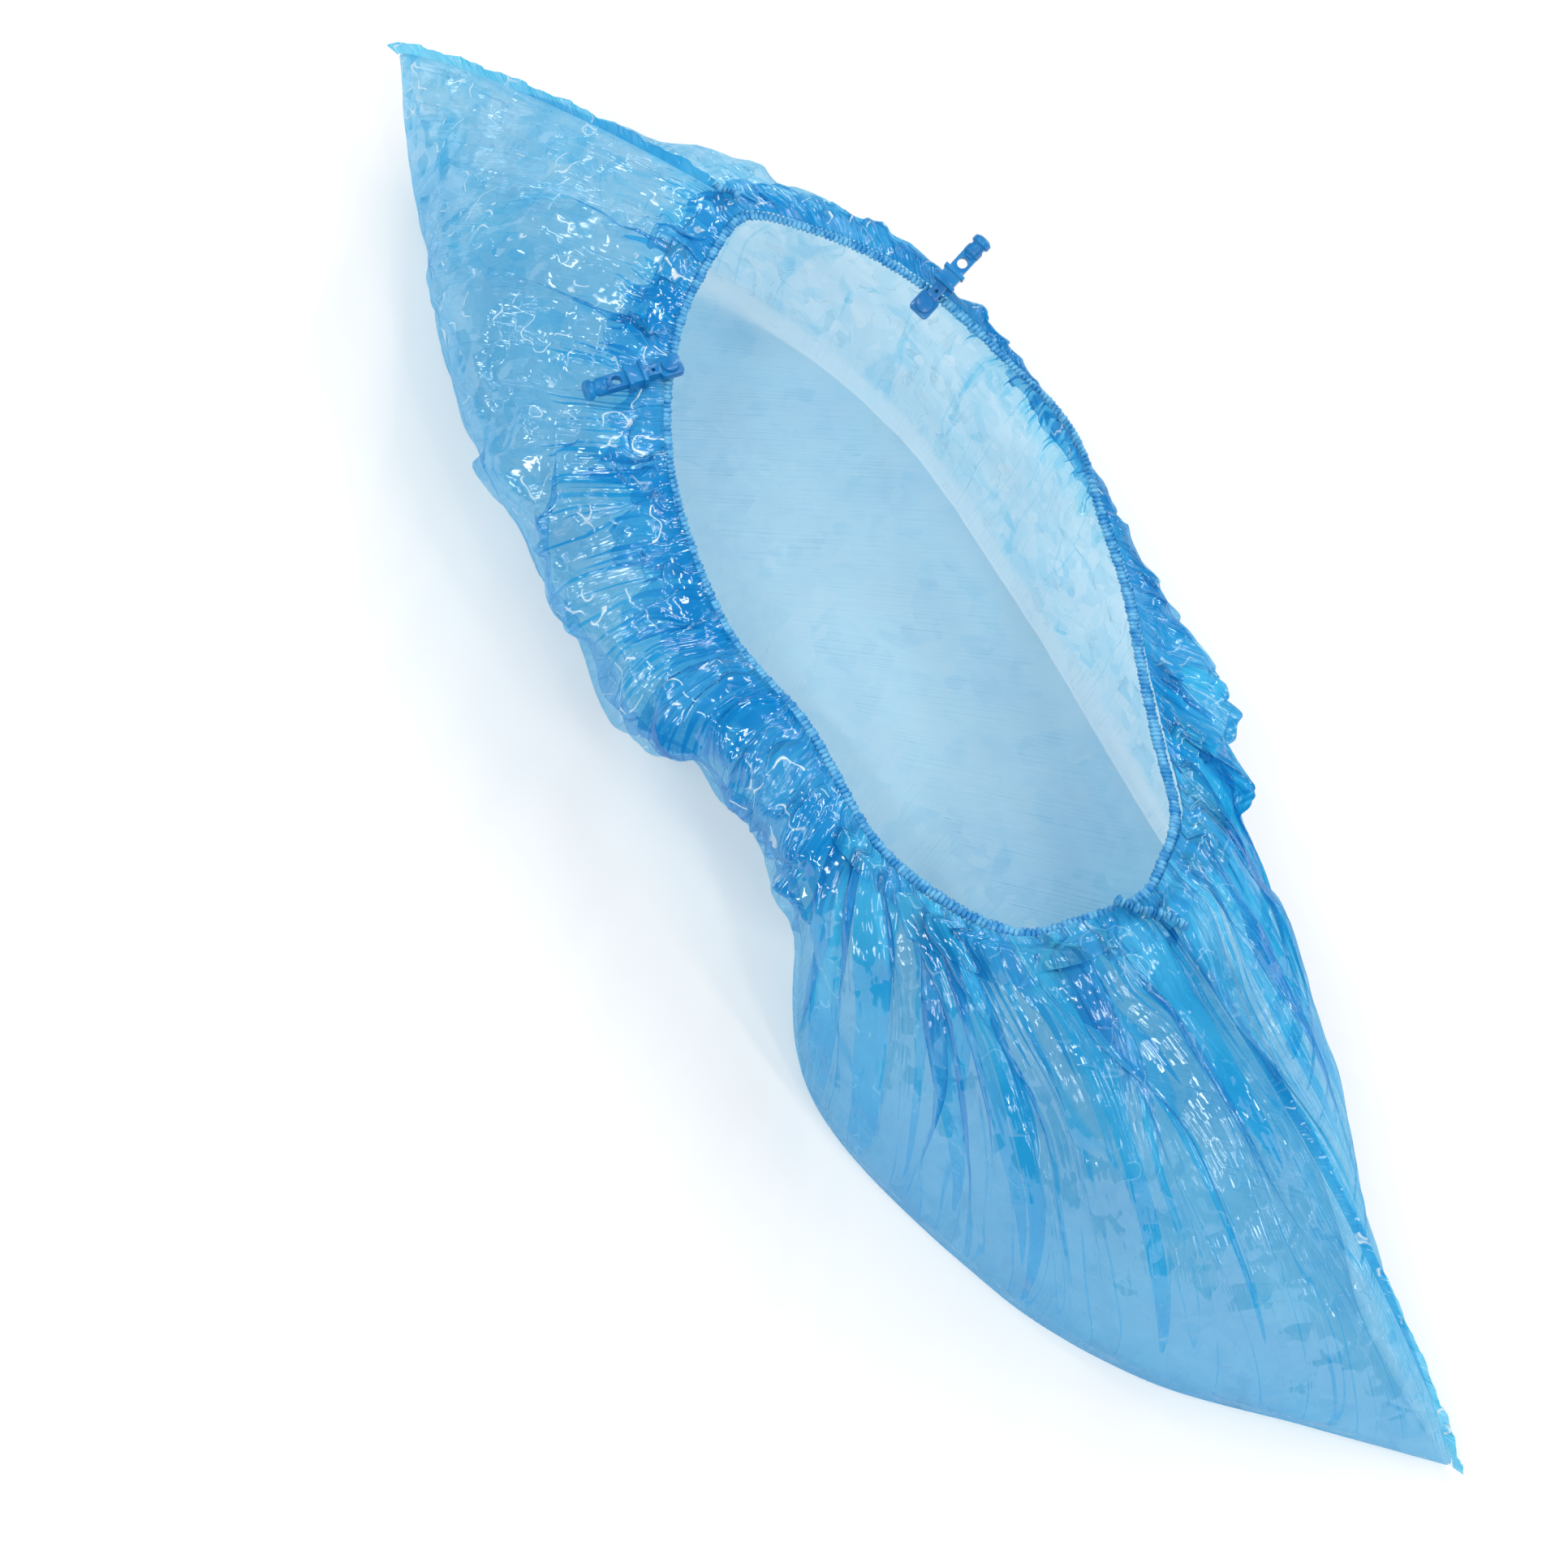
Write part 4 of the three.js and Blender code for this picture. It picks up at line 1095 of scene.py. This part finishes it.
def tab_pieces(name, node, start, end, high, top_start, top_end, foot_start, foot_end):
    count = 15
    share = np.linspace(0, 1, count)[:, None]
    line = np.array(start) + (np.array(end) - start) * share
    sway = np.sin(share * 7.0) * 0.35
    side = unit(np.cross(np.array(end) - start, (0, 0, 1.0)))
    top = line + side * sway
    top[:, 2] = top_start + (top_end - top_start) * share[:, 0] ** 1.4
    rope = ribbed(
        name, top, np.tile((0, 0, 1.0), (count, 1)), RIB_FINISH, luck=0.3, pitch=1.0, length=1.3,
        width=1.9, height=high,
    )
    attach(rope, "root")
    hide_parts(node)
    rows = 7
    drop = np.linspace(0, 1, rows)
    foot_z = foot_start + (foot_end - foot_start) * share[:, 0]
    points = []
    for way in (-1, 1):
        flare = way * (0.25 + 2.0 * drop[None, :] ** 1.3 * (0.6 + 0.4 * np.sin(share * 19 + way)))
        sheet = top[:, None] + side * flare[..., None]
        sheet[..., 2] = top[:, None, 2] + (foot_z[:, None] - top[:, None, 2]) * drop
        points.append(sheet)
    faces = np.concatenate([
        grid_faces(count, rows, False), grid_faces(count, rows, True, first=count * rows),
    ])
    skirt = piece(name + "_skirt", np.concatenate([p.reshape(-1, 3) for p in points]), faces)
    skirt.data.materials.append(film_finish("film " + name, 0.35, crimped=True))
    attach(skirt, "root")
    return rope


front_rope = tab_pieces(
    "front_tab_roll", "front_tab", (62.8, -6.0, 0), (72.5, 5.2, 0), 4.0, 75.0, 72.6, 70.5, 66.5,
)
tab_pieces(
    "rear_tab_roll", "rear_tab",
    (rear_high[0], rear_high[1] - 0.9, 0), (rear_low[0], rear_low[1] + 0.9, 0), 2.2,
    rear_high[2] - 1.0, rear_low[2] + 1.6, rear_low[2] + 0.6, rear_low[2] - 0.2,
)
print("front tab:", len(front_rope.data.polygons), "faces in its ribs")


# %% [markdown]
# ## Dispenser clips
# Two small moulded clips ride on the rim. They hold the cover open on a dispenser's rails. Their solids
# already have the right shape, so each piece here is a copy with its loose triangles joined and its sharp
# edges rounded by a Bevel, which is what catches the light on moulded plastic.

# %% Clips
for node in ("hook_clip_right", "hook_clip_left"):
    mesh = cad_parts[node].data.copy()
    made = bpy.data.objects.new(node + "_moulded", mesh)
    bpy.context.scene.collection.objects.link(made)
    mesh.materials.clear()
    mesh.materials.append(CLIP_FINISH)
    bm = bmesh.new()
    bm.from_mesh(mesh)
    bmesh.ops.remove_doubles(bm, verts=bm.verts, dist=0.01 * MM)
    bmesh.ops.dissolve_limit(bm, angle_limit=math.radians(1), verts=bm.verts, edges=bm.edges)
    bm.to_mesh(mesh)
    bm.free()
    mesh.polygons.foreach_set("use_smooth", np.ones(len(mesh.polygons), bool))
    bevel = made.modifiers.new("rounded edges", "BEVEL")
    bevel.width = 0.16 * MM
    bevel.segments = 2
    bevel.limit_method = "ANGLE"
    bevel.angle_limit = math.radians(40)
    bevel.harden_normals = True
    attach(made, "root")
    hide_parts(node)
    print(node, len(mesh.polygons), "faces")


# %% [markdown]
# ## Floor and light
# The cover stands on a pale floor. Film only looks like film when it has lamps to mirror, so besides a wide
# soft light overhead there are a few long bright panels whose reflections break up on the facets.

# %% Floor, sky and lamps
FLOOR_SIZE = 6.0


def plain_stage():
    floor_z = cad_box[0][2]
    half = FLOOR_SIZE / 2
    mesh = bpy.data.meshes.new("floor")
    corners = [(-half, -half, floor_z), (half, -half, floor_z), (half, half, floor_z), (-half, half, floor_z)]
    mesh.from_pydata(corners, [], [(0, 1, 2, 3)])
    floor = bpy.data.objects.new("floor", mesh)
    bpy.context.scene.collection.objects.link(floor)
    f = Finish("pale floor")
    mesh.materials.append(
        f.done(f.shader("ShaderNodeBsdfPrincipled", Base_Color=(0.935, 0.935, 0.935, 1), Roughness=0.9))
    )


def lamp(name, at, aim, wide, tall, power, mirrored=True):
    data = bpy.data.lights.new(name, "AREA")
    data.shape = "RECTANGLE"
    data.size = wide
    data.size_y = tall
    data.energy = power
    made = bpy.data.objects.new(name, data)
    bpy.context.scene.collection.objects.link(made)
    made.location = at
    made.rotation_euler = (Vector(aim) - Vector(at)).to_track_quat("-Z", "Y").to_euler()
    made.visible_glossy = mirrored
    return made


plain_stage()
world = bpy.data.worlds.new("studio")
world.use_nodes = True
background = world.node_tree.nodes["Background"].inputs
background["Color"].default_value = (1, 1, 1, 1)
background["Strength"].default_value = 0.28
world.cycles_visibility.glossy = False
bpy.context.scene.world = world
MIDDLE = (-0.02, 0, 0.03)
lamps = [
    lamp("overhead", (0.35, -0.35, 1.5), MIDDLE, 1.1, 1.1, 7.4, mirrored=False),
]
for place_name, *settings in (
    ("behind", (-0.9, 0.55, 0.75), MIDDLE, 0.06, 0.9, 2.3),
    ("left", (0.25, 1.0, 0.7), MIDDLE, 0.9, 0.06, 2.3),
    ("front", (0.95, 0.1, 0.8), MIDDLE, 0.06, 0.8, 2.05),
    ("right", (-0.35, -0.9, 0.6), MIDDLE, 0.8, 0.06, 2.05),
    ("high", (-0.35, 0.45, 1.1), MIDDLE, 0.05, 0.7, 1.75),
    ("high left", (0.45, 0.55, 1.1), MIDDLE, 0.6, 0.05, 1.5),
    ("low", (-0.75, -0.45, 0.95), MIDDLE, 0.05, 0.6, 1.5),
    ("near right", (0.78, -0.12, 1.0), MIDDLE, 0.05, 0.55, 1.4),
    ("near left", (0.1, -0.6, 1.15), MIDDLE, 0.55, 0.05, 1.4),
):
    lamps.append(lamp("strip " + place_name, *settings))
print("lamps:", [made.name for made in lamps])


# %% [markdown]
# ## Finishing
# A cover of a common size, 41 cm long and 15 cm high when it lies flat, is a sheet of 30 by 41 cm. Then the
# pieces are listed by kind, and the render's view transform and bounce limits are set.

# %% Pieces by kind and render settings
SLOTS = {
    "film": ("film", "hem_band", "toe_weld", "heel_weld", "front_tab_roll_skirt", "rear_tab_roll_skirt"),
    "hem": ("rim", "front_tab_roll", "rear_tab_roll"),
    "clip": ("hook_clip_right_moulded", "hook_clip_left_moulded"),
}
for slot, names in SLOTS.items():
    for name in names:
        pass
bpy.context.scene.view_settings.view_transform = "Standard"
cycles = bpy.context.scene.cycles
cycles.transparent_max_bounces = 14
cycles.max_bounces = 4
cycles.diffuse_bounces = 1
cycles.glossy_bounces = 2
